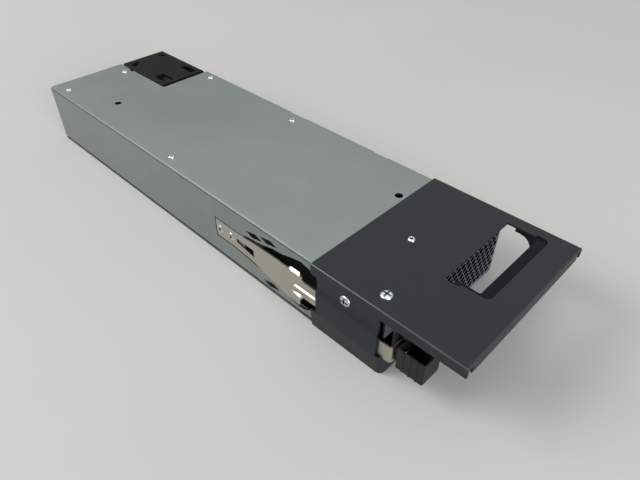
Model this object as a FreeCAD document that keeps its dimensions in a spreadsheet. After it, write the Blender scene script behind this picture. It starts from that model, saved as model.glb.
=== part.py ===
import FreeCAD, Part
import os
import re

import Sketcher
from FreeCAD import Placement, Rotation, Vector

# Hot swap power supply for a server, as a parametric assembly.
# Millimetres. X runs across the unit, Y from the handle end to the end that goes into the server,
# Z up. Y = 0 is the seam where the black front cover meets the galvanised casing, X = 0 is the
# middle of the casing and Z = 0 is its underside.

SIZES = {
    # Casing of folded galvanised sheet
    "casing_width": 93.5,
    "casing_height": 40.0,
    "casing_length": 258.3,
    "steel": 1.0,
    "bend_radius": 1.6,
    "fit": 0.1,
    "lap_gap": 0.3,
    "tray_lip": 5.0,
    "front_depth": 43.3,
    # Shallow reliefs pressed in the right edge of the casing
    "relief_depth": 1.5,
    "relief_drop": 3.0,
    "relief_a_start": 98.0,
    "relief_a_length": 14.0,
    "relief_b_start": 31.3,
    "relief_b_length": 10.2,
    # Cut-out over the fans, and the holes in the roof
    "bay_width": 38.2,
    "bay_length": 56.8,
    "bay_step": 1.5,
    "bay_step_back": 13.3,
    "bay_step_length": 4.6,
    "roof_hole_radius": 2.2,
    "roof_hole_a_x": -26.4,
    "roof_hole_a_back": 55.9,
    "roof_hole_b_x": 21.5,
    "roof_hole_b_front": 4.0,
    # Rivets in the roof: in from the nearest edge, and forward of the rear end
    "rivet_a_in": 7.1,
    "rivet_a_back": 13.6,
    "rivet_b_in": 5.4,
    "rivet_b_back": 14.7,
    "rivet_c_in": 5.5,
    "rivet_c_back": 67.5,
    "rivet_d_front": 120.5,
    "rivet_e_in": 8.2,
    "rivet_e_front": 102.5,
    # Front cover
    "cover_rise": 0.4,
    "cover_side_gap": 0.1,
    "cover_seam": 0.2,
    "plate_overhang": 39.5,
    "wall_setback": 2.3,
    "wall_foot": 12.0,
    "flange_drop": 5.4,
    "corner_relief": 4.0,
    "cover_bend": 0.9,
    "bulge": 1.25,
    "bulge_top": 28.0,
    "bulge_full": 25.6,
    "window_back": 4.5,
    "window_head": 34.4,
    "ear_setback": 2.1,
    "ear_shelf": 2.9,
    "ear_shoulder": 8.0,
    "ear_radius": 6.6,
    "ear_leg": 14.0,
    "ear_drop": 18.4,
    # Hand hole, its notch, and the band pressed down round two of its sides
    "hole_left": 10.0,
    "hole_side": 6.4,
    "hole_setback": 5.2,
    "hole_length": 16.0,
    "hole_radius": 1.0,
    "notch_reach": 4.0,
    "notch_length": 4.3,
    "band_left": 2.0,
    "band_jog": 1.7,
    "band_jog_length": 2.2,
    "band_front": 5.3,
    "band_right": 1.2,
    "band_start": 14.9,
    "band_radius": 3.0,
    "band_depth": 0.8,
    # Foot of the latch side
    "foot_start": 1.0,
    "foot_radius": 3.0,
    "foot_return": 8.0,
    "foot_step": 2.0,
    # Grille
    "mesh_pitch": 4.0,
    "mesh_row": 3.4,
    "mesh_flats": 3.1,
    "mesh_x": -2.0,
    "mesh_z": 4.9,
    "grille_fold": 8.0,
    "latch_slot_edge": 6.7,
    "latch_slot_low": 10.5,
    "latch_slot_high": 24.0,
    # Mains inlet
    "inlet_x": -19.5,
    "inlet_z": 18.0,
    "inlet_flange_width": 30.8,
    "inlet_flange_height": 23.8,
    "inlet_flange": 2.0,
    "inlet_width": 27.0,
    "inlet_height": 20.0,
    "inlet_body": 19.0,
    "socket_width": 24.4,
    "socket_height": 16.8,
    "socket_depth": 17.0,
    "socket_corner": 3.6,
    "pin_spread": 7.0,
    "pin_offset": 2.0,
    "pin_thick": 2.0,
    "pin_tall": 4.0,
    "pin_length": 15.0,
    "pin_tail": 8.0,
    "lamp_x": -27.0,
    "lamp_z": 34.6,
    "lamp_radius": 1.5,
    "lamp_length": 7.0,
    # Latch: a leaf spring with a thumb grip
    "leaf": 0.8,
    "leaf_sink": 0.2,
    "anchor_back": 73.6,
    "leaf_mid": 19.6,
    "leaf_tall": 11.3,
    "leaf_flare": 57.7,
    "leaf_flare_drop": 0.9,
    "neck": 49.0,
    "neck_gap": 0.3,
    "leaf_slot_back": 56.2,
    "leaf_slot_front": 42.6,
    "leaf_slot_half": 1.3,
    "leaf_slot_up": 1.1,
    "leaf_slot_down": 3.5,
    "wing_rise": 1.95,
    "wing_back": 18.0,
    "wing_front": 6.2,
    "wing_top": 29.8,
    "wing_low": 8.9,
    "hook_length": 6.8,
    "hook_proud": 0.4,
    "hook_half": 0.85,
    "hook_high": 28.9,
    "hook_low": 13.45,
    "root_low": 13.8,
    "root_high": 24.3,
    "root_length": 6.0,
    "tongue_low": 12.0,
    "tongue_high": 22.0,
    "tongue_rise": 0.85,
    "tongue_start": -2.0,
    "tongue_overhang": 5.3,
    "tongue_bend": 2.0,
    "tongue_turn": 8.5,
    "crease_back": 11.0,
    "crease_length": 40.0,
    "crease_half": 0.55,
    "crease_proud": 0.35,
    "crease_z": 19.0,
    "rivet_gap": 9.2,
    "rivet_from_end": 3.5,
    "rivet_head": 2.4,
    "rivet_shank": 1.5,
    "rivet_bore": 0.8,
    "bracket_front": 51.0,
    "bracket_back": 85.0,
    "bracket_low": 8.0,
    "bracket_high": 32.0,
    "grip_width": 12.0,
    "grip_length": 14.2,
    "grip_tall": 13.0,
    "grip_low": 11.4,
    "grip_side": 0.25,
    "grip_wall": 1.6,
    "grip_stand": 2.2,
    "rib_count": 3.0,
    "rib_width": 0.9,
    "rib_depth": 0.4,
    "grip_rivet": 1.2,
    # Vents beside the latch
    "vent_half": 6.3,
    "vent_rise": 1.9,
    "vent_skew": 1.2,
    # Pair of counter-rotating fans
    "fan_size": 38.0,
    "fan_inset": 0.1,
    "guard_depth": 1.8,
    "guard_web": 1.6,
    "fan_a_depth": 31.6,
    "fan_b_depth": 20.0,
    "fan_flange": 3.2,
    "fan_bore": 18.1,
    "fan_corner": 3.0,
    "fan_hub": 8.6,
    "fan_strut": 2.0,
    "fan_skin": 0.3,
    "recess_edge": 5.4,
    "recess_left": 6.0,
    "recess_right": 9.0,
    "recess_length": 6.3,
    "fan_hole_pitch": 32.0,
    "fan_hole_radius": 1.7,
    "fan_screw_radius": 1.4,
    "fan_screw_head": 2.6,
    "fan_screw_rise": 0.9,
    "shaft_radius": 1.0,
    "shaft_clearance": 0.05,
    "bearing_radius": 3.0,
    "blade_tip_gap": 0.7,
    "blade_thick": 0.9,
    # Circuit board and what it carries
    "board_height": 5.6,
    "board_thick": 1.6,
    "board_setback": 4.3,
    "board_step": 62.3,
    "board_gap": 3.7,
    "board_end": 22.3,
    "board_tail_in": 3.5,
    "standoff_radius": 2.5,
    "standoff_in": 5.0,
    "insulator": 0.4,
    "film_front": -10.0,
    "film_top": 36.0,
    "part_gap": 0.1,
    "choke_radius": 12.0,
    "choke_eye": 5.0,
    "choke_thick": 9.0,
    "choke_x": 18.0,
    "choke_lift": 2.0,
    "can_radius": 14.9,
    "can_pitch": 31.0,
    "can_side": 18.7,
    "can_start_share": 0.112,
    "can_end_share": 0.347,
    "sink_in": 12.0,
    "sink_web": 3.0,
    "sink_fin": 8.0,
    "sink_fin_thick": 1.4,
    "sink_fins": 13.0,
    "sink_drop": 3.0,
    "sink_gap": 2.0,
    "sink_end": 56.0,
    "switch_count": 4.0,
    "switch_thick": 4.6,
    "switch_tall": 20.0,
    "core_x": 2.0,
    "core_width": 36.0,
    "core_length": 30.0,
    "core_back": 70.0,
    "core_tall": 27.0,
    "core_leg": 5.0,
    "core_middle": 10.0,
    "coil_out": 4.0,
    "ring_x": 20.0,
    "ring_back": 44.0,
    "ring_radius": 13.0,
    "ring_tall": 14.0,
    "rectifier_length": 50.0,
    "rectifier_front": 31.0,
    "rectifier_reach": 22.0,
    "out_can_radius": 5.0,
    "out_can_pitch": 11.0,
    "out_can_tall": 21.0,
    "out_can_x": -10.0,
    "out_can_back": 20.0,
    "control_x": -12.0,
    "control_thick": 1.2,
    "control_length": 26.0,
    "control_tall": 24.0,
    "control_back": 54.0,
    "connector_left": 5.7,
    "connector_right": 6.5,
    "connector_tall": 13.0,
    "connector_depth": 20.0,
    "blade_count": 8.0,
    "blade_end": 4.9,
    "blade_slot": 2.2,
    "blade_sheet": 1.0,
    # Small fasteners
    "pan_radius": 2.0,
    "pan_height": 0.8,
    "pan_shank": 1.2,
    "pan_bore": 0.75,
    "screw_head": 3.0,
    "screw_shank": 1.5,
    "screw_length": 5.0,
    "plate_screw_side": 7.8,
    "plate_screw_in": 6.3,
    "plate_rivet_x": -2.6,
    "plate_rivet_y": -22.4,
    "side_screw_y": -21.7,
    "side_screw_z": 32.0,
}

# Swing and half length of a fan blade's section at its root and tip
BLADE_CHORDS = {"root": (4.2, 6.2), "tip": (2.6, 9.6)}

doc = FreeCAD.newDocument("hot_swap_power_supply")
sheet = doc.addObject("Spreadsheet::Sheet", "dim")
for row, (alias, value) in enumerate(SIZES.items(), start=1):
    sheet.set(f"A{row}", alias)
    sheet.set(f"B{row}", str(value))
    sheet.setAlias(f"B{row}", alias)
doc.recompute()

nodes = []

SIDE = "casing_width / 2"
WALL = "(casing_width / 2 - steel)"
COVER = "(casing_width / 2 + cover_side_gap + steel)"
PLATE_TOP = "(casing_height + cover_rise)"
PLATE_LOW = "(casing_height + cover_rise - steel)"
BAY_LEFT = "(casing_width / 2 - bay_width)"
BAY_FRONT = "(casing_length - bay_length)"
PLATE_REACH = "(front_depth + plate_overhang)"
WALL_REACH = "(front_depth - wall_setback)"
HOLE_BACK = "(front_depth + hole_setback)"
HOLE_FRONT = "(front_depth + hole_setback + hole_length)"
HOLE_RIGHT = "(casing_width / 2 - hole_side)"
PLATE_SCREW = ("(plate_screw_side - casing_width / 2)", "(plate_screw_in - front_depth)")
TONGUE_FRONT = "(front_depth + tongue_overhang)"
BOARD_FRONT = "(inlet_body + board_setback - front_depth)"
BOARD_BACK = "(casing_length - board_step)"
BOARD_SIDE = "(casing_width / 2 - steel - board_gap)"
BOARD_TOP = "(board_height + board_thick)"
LEAF_FACE = "(-casing_width / 2 + leaf_sink)"
TURN = {
    "x": Rotation(Vector(0, 1, 0), 90),
    "y": Rotation(Vector(1, 0, 0), -90),
    "z": Rotation(),
}


def formula(text):
    """Point each size that a formula names at its cell of the sheet."""
    return re.sub(r"[a-z]+(?:_[a-z]+)*", lambda m: "dim." + m.group() if m.group() in SIZES else m.group(), str(text))


def number(text):
    return float(sheet.evalExpression(formula(text)))


def keep(label, item):
    """Name a finished sub-part, which is written to a file of that name."""
    item.Label = label
    nodes.append(item)
    return item


def place(item, x, y, z):
    for axis, text in zip("xyz", (x, y, z)):
        item.setExpression("Placement.Base." + axis, formula(text))
    return item


def block(name, low, high):
    """A box between two corners."""
    box = doc.addObject("Part::Box", name)
    for prop, start, end in zip(("Length", "Width", "Height"), low, high):
        box.setExpression(prop, formula(f"({end}) - ({start})"))
    return place(box, *low)


def rod(name, axis, start, radius, length):
    """A round bar from a point along X, Y or Z."""
    bar = doc.addObject("Part::Cylinder", name)
    bar.Placement = Placement(Vector(), TURN[axis])
    bar.setExpression("Radius", formula(radius))
    bar.setExpression("Height", formula(length))
    return place(bar, *start)


def joined(name, parts):
    item = doc.addObject("Part::MultiFuse", name)
    item.Shapes = parts
    return item


def cut(name, base, tools):
    item = doc.addObject("Part::Cut", name)
    item.Base = base
    item.Tool = tools[0] if len(tools) == 1 else joined(name + "_tools", tools)
    return item


def group(name, parts):
    """Like pieces, kept apart, as one node."""
    item = doc.addObject("Part::Compound", name)
    item.Links = parts
    return item


def new_body(name):
    return doc.addObject("PartDesign::Body", name)


def datum(body, role):
    return next(item for item in body.Origin.OriginFeatures if item.Role == role)


def corners(low_x, low_y, high_x, high_y):
    return [(low_x, low_y), (high_x, low_y), (high_x, high_y), (low_x, high_y)]


def sketch(body, role, level, loops):
    """Outlines on one of the body's own planes. A loop of points is a polygon, a tuple a circle."""
    item = body.newObject("Sketcher::SketchObject", body.Name + "_sketch")
    item.AttachmentSupport = (datum(body, role), [""])
    item.MapMode = "FlatFace"
    sign = "-1" if role == "XZ_Plane" else "1"
    item.setExpression("AttachmentOffset.Base.z", formula(f"{sign} * ({level})"))
    for loop in loops:
        if isinstance(loop, tuple):
            draw_circle(item, *loop)
        else:
            draw_polygon(item, loop)
    return item


def pin_point(item, edge, end, x, y):
    for kind, text in (("DistanceX", x), ("DistanceY", y)):
        index = item.addConstraint(Sketcher.Constraint(kind, -1, 1, edge, end, number(text)))
        item.setExpression(f"Constraints[{index}]", formula(text))


def draw_polygon(item, points):
    spots = [Vector(number(x), number(y), 0) for x, y in points]
    edges = [item.addGeometry(Part.LineSegment(a, b)) for a, b in zip(spots, spots[1:] + spots[:1])]
    for edge, following in zip(edges, edges[1:] + edges[:1]):
        item.addConstraint(Sketcher.Constraint("Coincident", edge, 2, following, 1))
    for edge, (x, y) in zip(edges, points):
        pin_point(item, edge, 1, x, y)


def draw_circle(item, x, y, radius):
    centre = Vector(number(x), number(y), 0)
    edge = item.addGeometry(Part.Circle(centre, Vector(0, 0, 1), number(radius)))
    pin_point(item, edge, 3, x, y)
    index = item.addConstraint(Sketcher.Constraint("Radius", edge, number(radius)))
    item.setExpression(f"Constraints[{index}]", formula(radius))


def pad(body, role, start, end, loops):
    """Add the outlines' prism from one level to a higher one."""
    item = body.newObject("PartDesign::Pad", body.Name + "_pad")
    item.Profile = sketch(body, role, start, loops)
    item.setExpression("Length", formula(f"({end}) - ({start})"))
    item.Reversed = role == "XZ_Plane"
    return item


def pocket(body, role, start, end, loops):
    """Cut the outlines' prism from one level to a higher one."""
    item = body.newObject("PartDesign::Pocket", body.Name + "_pocket")
    item.Profile = sketch(body, role, start, loops)
    item.setExpression("Length", formula(f"({end}) - ({start})"))
    item.Reversed = role != "XZ_Plane"
    return item


def round_edges(body, radius, choose):
    """Round the edges of the body so far whose middle point and direction the test accepts."""
    doc.recompute()
    base = body.Tip
    names = []
    for index, edge in enumerate(base.Shape.Edges, start=1):
        if edge.Curve.TypeId != "Part::GeomLine":
            continue
        middle = edge.CenterOfMass
        line = edge.Vertexes[-1].Point.sub(edge.Vertexes[0].Point)
        if choose(middle, line):
            names.append(f"Edge{index}")
    item = body.newObject("PartDesign::Fillet", body.Name + "_fillet")
    item.Base = (base, names)
    item.setExpression("Radius", formula(radius))
    return item


def near(a, b):
    return abs(a - b) < 0.01


def turned(profile):
    """A solid of revolution about Z from its (radius, height) corners."""
    points = [Vector(r, 0, z) for r, z in profile]
    face = Part.Face(Part.makePolygon(points + points[:1]))
    return face.revolve(Vector(), Vector(0, 0, 1), 360)


def fasteners(label, shape, places):
    """Copies of one turned fastener, each at a point with its head facing a direction."""
    copies = []
    for point, facing in places:
        copy = shape.copy()
        copy.Placement = Placement(Vector(*point), Rotation(Vector(0, 0, 1), Vector(*facing)))
        copies.append(copy)
    item = doc.addObject("Part::Feature", label)
    item.Shape = Part.makeCompound(copies)
    return keep(label, item)


def pan_rivet():
    """Blind rivet: a low domed head, open in the middle, on a shank; the head's underside is at 0."""
    radius, height, bore = number("pan_radius"), number("pan_height"), number("pan_bore")
    shank, length = number("pan_shank"), 2 * number("steel")
    return turned([(0, 0), (bore, 0), (bore, height), (0.62 * radius, height), (0.9 * radius, 0.55 * height),
                   (radius, 0), (shank, 0), (shank, -length), (0, -length)])


# ---------------------------------------------------------------- casing

def base_tray():
    """Floor of the casing, with a low lip folded up along each side."""
    body = new_body("base_tray")
    front = "-front_depth + steel"
    lip = f"{WALL} - fit"
    bevel = "foot_radius / 2"
    floor = [(f"-{SIDE} + {bevel}", front), (SIDE, front), (SIDE, "casing_length"), (f"-{SIDE}", "casing_length"),
             (f"-{SIDE}", f"{front} + {bevel}")]
    pad(body, "XY_Plane", "0", "steel", [floor])
    pad(body, "YZ_Plane", f"-({lip})", f"-({lip}) + steel", [corners(f"{front} + foot_radius", "0", "casing_length", "tray_lip")])
    right_end = "casing_length - bay_length"
    pad(body, "YZ_Plane", f"{lip} - steel", lip, [corners(front, "0", right_end, "tray_lip")])
    return keep("base_tray", body)


ROOF_RIVETS = [(f"rivet_a_in - {SIDE}", "casing_length - rivet_a_back"),
               (f"{BAY_LEFT} - rivet_b_in", "casing_length - rivet_b_back"),
               (f"{SIDE} - rivet_c_in", "casing_length - rivet_c_back"),
               (f"rivet_a_in - {SIDE}", "rivet_d_front"),
               (f"{SIDE} - rivet_e_in", "rivet_e_front")]

# Middles of the slanted vents in the left wall, and the outline of the window beside the latch
VENTS = [("41.0", "31.4"), ("29.9", "34.1"), ("29.9", "5.0")]
WINDOW = [("anchor_back + 0.4", "leaf_mid - leaf_tall / 2 - 0.6"), ("anchor_back + 0.4", "26.2"),
          ("54.6", "26.4"), ("35.3", "29.4"), ("27.6", "31.6"), ("19.7", "32.6"), ("13.8", "34.4"),
          ("7.3", "35.9"), ("0", "window_head"), ("0", "8.2"), ("5.2", "5.0"), ("9.8", "4.6"),
          ("14.4", "5.3"), ("18.2", "6.4"), ("20.6", "9.9"), ("36.6", "10.5"), ("43.0", "11.5"),
          ("leaf_flare", "leaf_mid - leaf_tall / 2 - 0.6")]


def vent(y, z):
    """A slanted slot with four corners."""
    return [(f"{y} - vent_half", z), (f"{y} + vent_skew", f"{z} - vent_rise"), (f"{y} + vent_half", z),
            (f"{y} - vent_skew", f"{z} + vent_rise")]


def top_cover():
    """Roof and both sides in one folded sheet, open over the fans and beside the latch."""
    body = new_body("top_cover")
    foot = "(steel + lap_gap)"
    roof = "casing_height"
    fold = [(f"-{SIDE}", foot), (f"-{WALL}", foot), (f"-{WALL}", f"{roof} - steel"), (WALL, f"{roof} - steel"),
            (WALL, foot), (SIDE, foot), (SIDE, roof), (f"-{SIDE}", roof)]
    pad(body, "XZ_Plane", "0", "casing_length", [fold])
    top, half = number(roof), number(SIDE)
    round_edges(body, "bend_radius", lambda m, d: near(m.z, top) and near(abs(m.x), half) and abs(d.y) > 1)
    bay = corners(BAY_LEFT, BAY_FRONT, f"{SIDE} + 1", "casing_length + 1")
    step_back = "casing_length - bay_step_back"
    step = corners(f"{BAY_LEFT} - bay_step", f"{step_back} - bay_step_length", BAY_LEFT, step_back)
    pocket(body, "XY_Plane", "0", f"{roof} + 1", [bay])
    pocket(body, "XY_Plane", f"{roof} - steel - 1", f"{roof} + 1", [step])
    pressed = f"{SIDE} - relief_depth"
    for name in "ab":
        start, end = f"relief_{name}_start", f"relief_{name}_start + relief_{name}_length"
        pad(body, "XY_Plane", f"{roof} - relief_drop - steel", f"{roof} - steel / 2",
            [corners(f"{pressed} - steel", f"{start} - steel", f"{SIDE} - steel / 2", f"{end} + steel")])
        pocket(body, "XY_Plane", f"{roof} - relief_drop", f"{roof} + 1", [corners(pressed, start, f"{SIDE} + 1", end)])
    holes = [("roof_hole_a_x", "casing_length - roof_hole_a_back", "roof_hole_radius"),
             ("roof_hole_b_x", "roof_hole_b_front", "roof_hole_radius")]
    rivets = [(x, y, "pan_shank") for x, y in ROOF_RIVETS]
    pocket(body, "XY_Plane", f"{roof} - steel - 1", f"{roof} + 1", holes + rivets)
    outside, inside = f"-{SIDE} - 1", f"-{WALL} + 0.5"
    pocket(body, "YZ_Plane", outside, inside, [WINDOW] + [vent(y, z) for y, z in VENTS])
    return keep("top_cover", body)


def rear_panel():
    """Wall that closes the casing beside the fans, with the opening for the output connector."""
    body = new_body("rear_panel")
    left = f"-{WALL} + 2 * fit + steel"
    right = f"{BAY_LEFT} - fit"
    low, high = "steel", "casing_height - steel - fit"
    port = corners(f"{CONNECTOR_LEFT} - part_gap", BOARD_TOP, f"{CONNECTOR_RIGHT} + part_gap",
                   f"{BOARD_TOP} + connector_tall + part_gap")
    wall = corners(left, low, right, high)
    pad(body, "XZ_Plane", "casing_length - steel", "casing_length", [wall, port])
    pad(body, "YZ_Plane", f"{right} - steel", right,
        [corners("casing_length - bay_length / 2", low, "casing_length", high)])
    return keep("rear_panel", body)


# ---------------------------------------------------------------- front cover and grille

def front_cover():
    """Black painted sheet: the plate that doubles as a handle, its flanges and both side walls."""
    body = new_body("front_cover_sheet")
    front, seam = f"-{PLATE_REACH}", "-cover_seam"
    drop = f"{PLATE_TOP} - flange_drop"
    walls = f"-{WALL_REACH}"
    pad(body, "XY_Plane", PLATE_LOW, PLATE_TOP, [corners(f"-{COVER}", front, COVER, seam)])
    pad(body, "YZ_Plane", f"-{COVER}", f"-{COVER} + steel", [corners(front, drop, walls, PLATE_TOP)])
    pad(body, "XZ_Plane", front, f"{front} + steel",
        [corners(f"-{COVER} + corner_relief", drop, f"{COVER} - corner_relief", PLATE_TOP)])
    ear_back, shoulder = f"-{HOLE_BACK} - ear_setback", f"{PLATE_TOP} - ear_shoulder"
    middle = (f"{ear_back} - ear_shelf", f"{shoulder} - ear_radius")
    low_ear = f"{PLATE_TOP} - ear_drop"
    leg_back, leg_front = f"{middle[0]} - ear_radius", f"{middle[0]} - ear_radius - ear_leg"
    arch = [(f"{middle[0]} + ear_radius * cos({turn})", f"{middle[1]} + ear_radius * sin({turn})")
            for turn in (180, 157.5, 135, 112.5, 90)]
    flange = [(front, drop), (leg_front, drop), (leg_front, f"{low_ear} + 2 * hole_radius"),
              (f"{leg_front} + 2 * hole_radius", low_ear), (f"{leg_back} - 2 * hole_radius", low_ear),
              (leg_back, f"{low_ear} + 2 * hole_radius")]
    flange += arch + [(ear_back, shoulder), (ear_back, drop), (walls, drop), (walls, PLATE_TOP), (front, PLATE_TOP)]
    pad(body, "YZ_Plane", f"{COVER} - steel", COVER, [flange])
    pad(body, "YZ_Plane", f"{COVER} - steel", COVER, [corners(walls, "0", seam, PLATE_TOP)])
    rise = "bulge * 0.4"
    bulged = [(f"-{COVER}", PLATE_TOP), (f"-{COVER}", "bulge_top"), (f"-{COVER} - bulge", "bulge_full"),
              (f"-{COVER} - bulge", "wall_foot"), (f"-{COVER} - bulge + steel", "wall_foot"),
              (f"-{COVER} - bulge + steel", f"bulge_full - {rise}"), (f"-{COVER} + steel", f"bulge_top - {rise}"),
              (f"-{COVER} + steel", PLATE_TOP)]
    pad(body, "XZ_Plane", walls, seam, [bulged])
    band_left, band_right = "-hole_left - band_left", f"{HOLE_RIGHT} + band_right"
    band_front, band_back = f"-{HOLE_FRONT} - band_front", f"-{HOLE_BACK} - notch_length"
    in_hole, band_start = "2 * hole_radius - hole_left", f"-{HOLE_BACK} - band_start"
    band = [(f"{band_left} - band_jog", band_back), (f"{band_left} - band_jog", f"{band_back} - band_jog_length"),
            (band_left, f"{band_back} - band_jog_length - band_jog"), (band_left, band_front),
            (band_right, band_front), (band_right, band_start), (in_hole, band_start), (in_hole, band_back)]
    pad(body, "XY_Plane", f"{PLATE_LOW} - band_depth", PLATE_LOW, [band])
    top, half, reach = number(PLATE_TOP), number(COVER), number(PLATE_REACH)
    round_edges(body, "cover_bend", lambda m, d: near(m.z, top) and (
        (near(abs(m.x), half) and abs(d.y) > 1) or (near(m.y, -reach) and abs(d.x) > 1)))
    pocket(body, "XY_Plane", f"{PLATE_TOP} - band_depth", f"{PLATE_TOP} + 1", [band])
    hole = [("-hole_left", f"-{HOLE_FRONT}"), (HOLE_RIGHT, f"-{HOLE_FRONT}"), (HOLE_RIGHT, f"-{HOLE_BACK}"),
            ("-hole_left - notch_reach", f"-{HOLE_BACK}"), ("-hole_left - notch_reach", band_back),
            ("-hole_left", band_back)]
    pocket(body, "XY_Plane", f"{PLATE_LOW} - band_depth - 1", f"{PLATE_TOP} + 1", [hole])
    left, right = number("-hole_left"), number(HOLE_RIGHT)
    hole_front = -number(HOLE_FRONT)
    round_edges(body, "hole_radius", lambda m, d: abs(d.z) > 0.1 and near(m.y, hole_front)
                and (near(m.x, left) or near(m.x, right)))
    left, right, front_edge = number(band_left), number(band_right), number(band_front)
    round_edges(body, "band_radius", lambda m, d: abs(d.z) > 0.1 and near(m.y, front_edge)
                and (near(m.x, left) or near(m.x, right)))
    pocket(body, "YZ_Plane", f"-{COVER} - bulge - 1", f"-{COVER} + steel + 1",
           [corners("-window_back", "wall_foot - 1", "1", "window_head")])
    bores = [
        rod("plate_screw_bore", "z", (*PLATE_SCREW, f"{PLATE_LOW} - 1"), "screw_shank + fit", "steel + 2"),
        rod("plate_rivet_bore", "z", ("plate_rivet_x", "plate_rivet_y", f"{PLATE_LOW} - 1"), "pan_shank", "steel + 2"),
        rod("side_screw_bore", "x", (f"-{COVER} - 1", "side_screw_y", "side_screw_z"), "screw_shank + fit", "steel + 2"),
    ]
    return keep("front_cover", cut("front_cover", body, bores))


def latch_foot():
    """Black strip under the latch, flared outwards and wrapped round the front corner."""
    body = new_body("latch_foot")
    radius = "foot_radius"
    corner_y = "-front_depth - fit - steel + foot_radius"
    outer, inner = (f"-{radius}", "0"), (f"-{radius} + steel", "0")
    flare = [outer, (f"-{radius} - bulge", "wall_foot"), (f"-{radius} - bulge + steel", "wall_foot"), inner]
    pad(body, "XZ_Plane", "0", f"-foot_start - ({corner_y})", [flare])
    corner = body.newObject("PartDesign::Revolution", "latch_foot_corner")
    corner.Profile = sketch(body, "XZ_Plane", "0", [flare])
    corner.ReferenceAxis = (datum(body, "Z_Axis"), [""])
    corner.Angle = 90
    pad(body, "YZ_Plane", "0", "foot_return", [flare])
    pocket(body, "XY_Plane", "wall_foot - foot_step", "wall_foot + 1",
           [corners("0.5", f"-{radius} - bulge - 1", "foot_return + 1", f"-{radius} + bulge + 1")])
    place(body, f"-{COVER} + {radius}", corner_y, "0")
    return keep("latch_foot", body)


def front_grille():
    """Pressed steel front with a honeycomb field, folded back at the roof, floor and right side."""
    body = new_body("front_grille")
    face, back = "-front_depth", "-front_depth + steel"
    fold = f"{face} + grille_fold"
    edge = "(casing_width / 2 - fit)"
    low, high = "steel", PLATE_LOW
    inset = f"-{COVER} + foot_radius + fit"
    slot = f"latch_slot_edge - {SIDE}"
    outline = [(inset, low), (edge, low), (edge, high), (f"-{edge}", high), (f"-{edge}", "latch_slot_high"),
               (slot, "latch_slot_high"), (slot, "latch_slot_low"), (inset, "latch_slot_low")]
    half, tall = "(inlet_width / 2 + fit)", "(inlet_height / 2 + fit)"
    port = corners(f"inlet_x - {half}", f"inlet_z - {tall}", f"inlet_x + {half}", f"inlet_z + {tall}")
    pad(body, "XZ_Plane", face, back, [outline, port, ("lamp_x", "lamp_z", "lamp_radius + fit")])
    screw_hole = (*PLATE_SCREW, "screw_shank + fit")
    pad(body, "XY_Plane", f"{high} - steel", high, [corners(f"-{edge}", face, edge, fold), screw_hole])
    pad(body, "XY_Plane", low, f"{low} + steel",
        [corners(f"-{WALL} + 2 * fit + steel", face, f"{WALL} - 2 * fit - steel", fold)])
    pad(body, "YZ_Plane", f"{edge} - steel", edge, [corners(face, "tray_lip + fit", fold, high)])
    doc.recompute()
    columns = f"floor(({edge} - steel - mesh_flats / 2 - mesh_x - mesh_pitch / 2) / mesh_pitch) + 1"
    rows = f"floor(({high} - steel - mesh_flats - mesh_z - mesh_row) / (2 * mesh_row)) + 1"
    for shift, rise in (("0", "0"), ("mesh_pitch / 2", "mesh_row")):
        centre = (f"mesh_x + {shift}", f"mesh_z + {rise}")
        corner = "mesh_flats / 2 / cos(30)"
        hexagon = [(f"{centre[0]} + {corner} * cos({30 + 60 * k})", f"{centre[1]} + {corner} * sin({30 + 60 * k})")
                   for k in range(6)]
        hole = pocket(body, "XZ_Plane", f"{face} - 1", f"{back} + 1", [hexagon])
        doc.recompute()
        across = body.newObject("PartDesign::LinearPattern", "mesh_across")
        across.Direction = (datum(body, "X_Axis"), [""])
        across.setExpression("Length", formula(f"mesh_pitch * ({columns} - 1)"))
        across.setExpression("Occurrences", formula(columns))
        upward = body.newObject("PartDesign::LinearPattern", "mesh_upward")
        upward.Direction = (datum(body, "Z_Axis"), [""])
        upward.setExpression("Length", formula(f"2 * mesh_row * ({rows} - 1)"))
        upward.setExpression("Occurrences", formula(rows))
        field = body.newObject("PartDesign::MultiTransform", "mesh_field")
        field.Originals = [hole]
        field.Transformations = [across, upward]
        body.Tip = field
        doc.recompute()
    return keep("front_grille", body)


# ---------------------------------------------------------------- mains inlet and status lamp

def ac_inlet():
    """Moulded mains inlet: flange outside the grille, body behind it, socket with two bevelled corners."""
    body = new_body("ac_inlet")
    face = "-front_depth - inlet_flange"
    half_w, half_t = "inlet_flange_width / 2", "inlet_flange_height / 2"
    pad(body, "XZ_Plane", face, "-front_depth", [corners(f"-({half_w})", f"-({half_t})", half_w, half_t)])
    half_w, half_t = "inlet_width / 2", "inlet_height / 2"
    pad(body, "XZ_Plane", "-front_depth", "-front_depth + inlet_body",
        [corners(f"-({half_w})", f"-({half_t})", half_w, half_t)])
    half_w, half_t, bevel = "socket_width / 2", "socket_height / 2", "socket_corner"
    mouth = [(f"-({half_w}) + {bevel}", f"-({half_t})"), (f"{half_w} - {bevel}", f"-({half_t})"),
             (half_w, f"-({half_t}) + {bevel}"), (half_w, half_t), (f"-({half_w})", half_t),
             (f"-({half_w})", f"-({half_t}) + {bevel}")]
    pocket(body, "XZ_Plane", f"{face} - 1", f"{face} + socket_depth", [mouth])
    pocket(body, "XZ_Plane", face, "-front_depth + inlet_body + 1", [pin_outline(x, z) for x, z in PIN_PLACES])
    place(body, "inlet_x", "0", "inlet_z")
    return keep("ac_inlet", body)


PIN_PLACES = [("-pin_spread", "-pin_offset"), ("0", "pin_offset"), ("pin_spread", "-pin_offset")]


def pin_outline(x, z):
    return corners(f"{x} - pin_thick / 2", f"{z} - pin_tall / 2", f"{x} + pin_thick / 2", f"{z} + pin_tall / 2")


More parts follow.
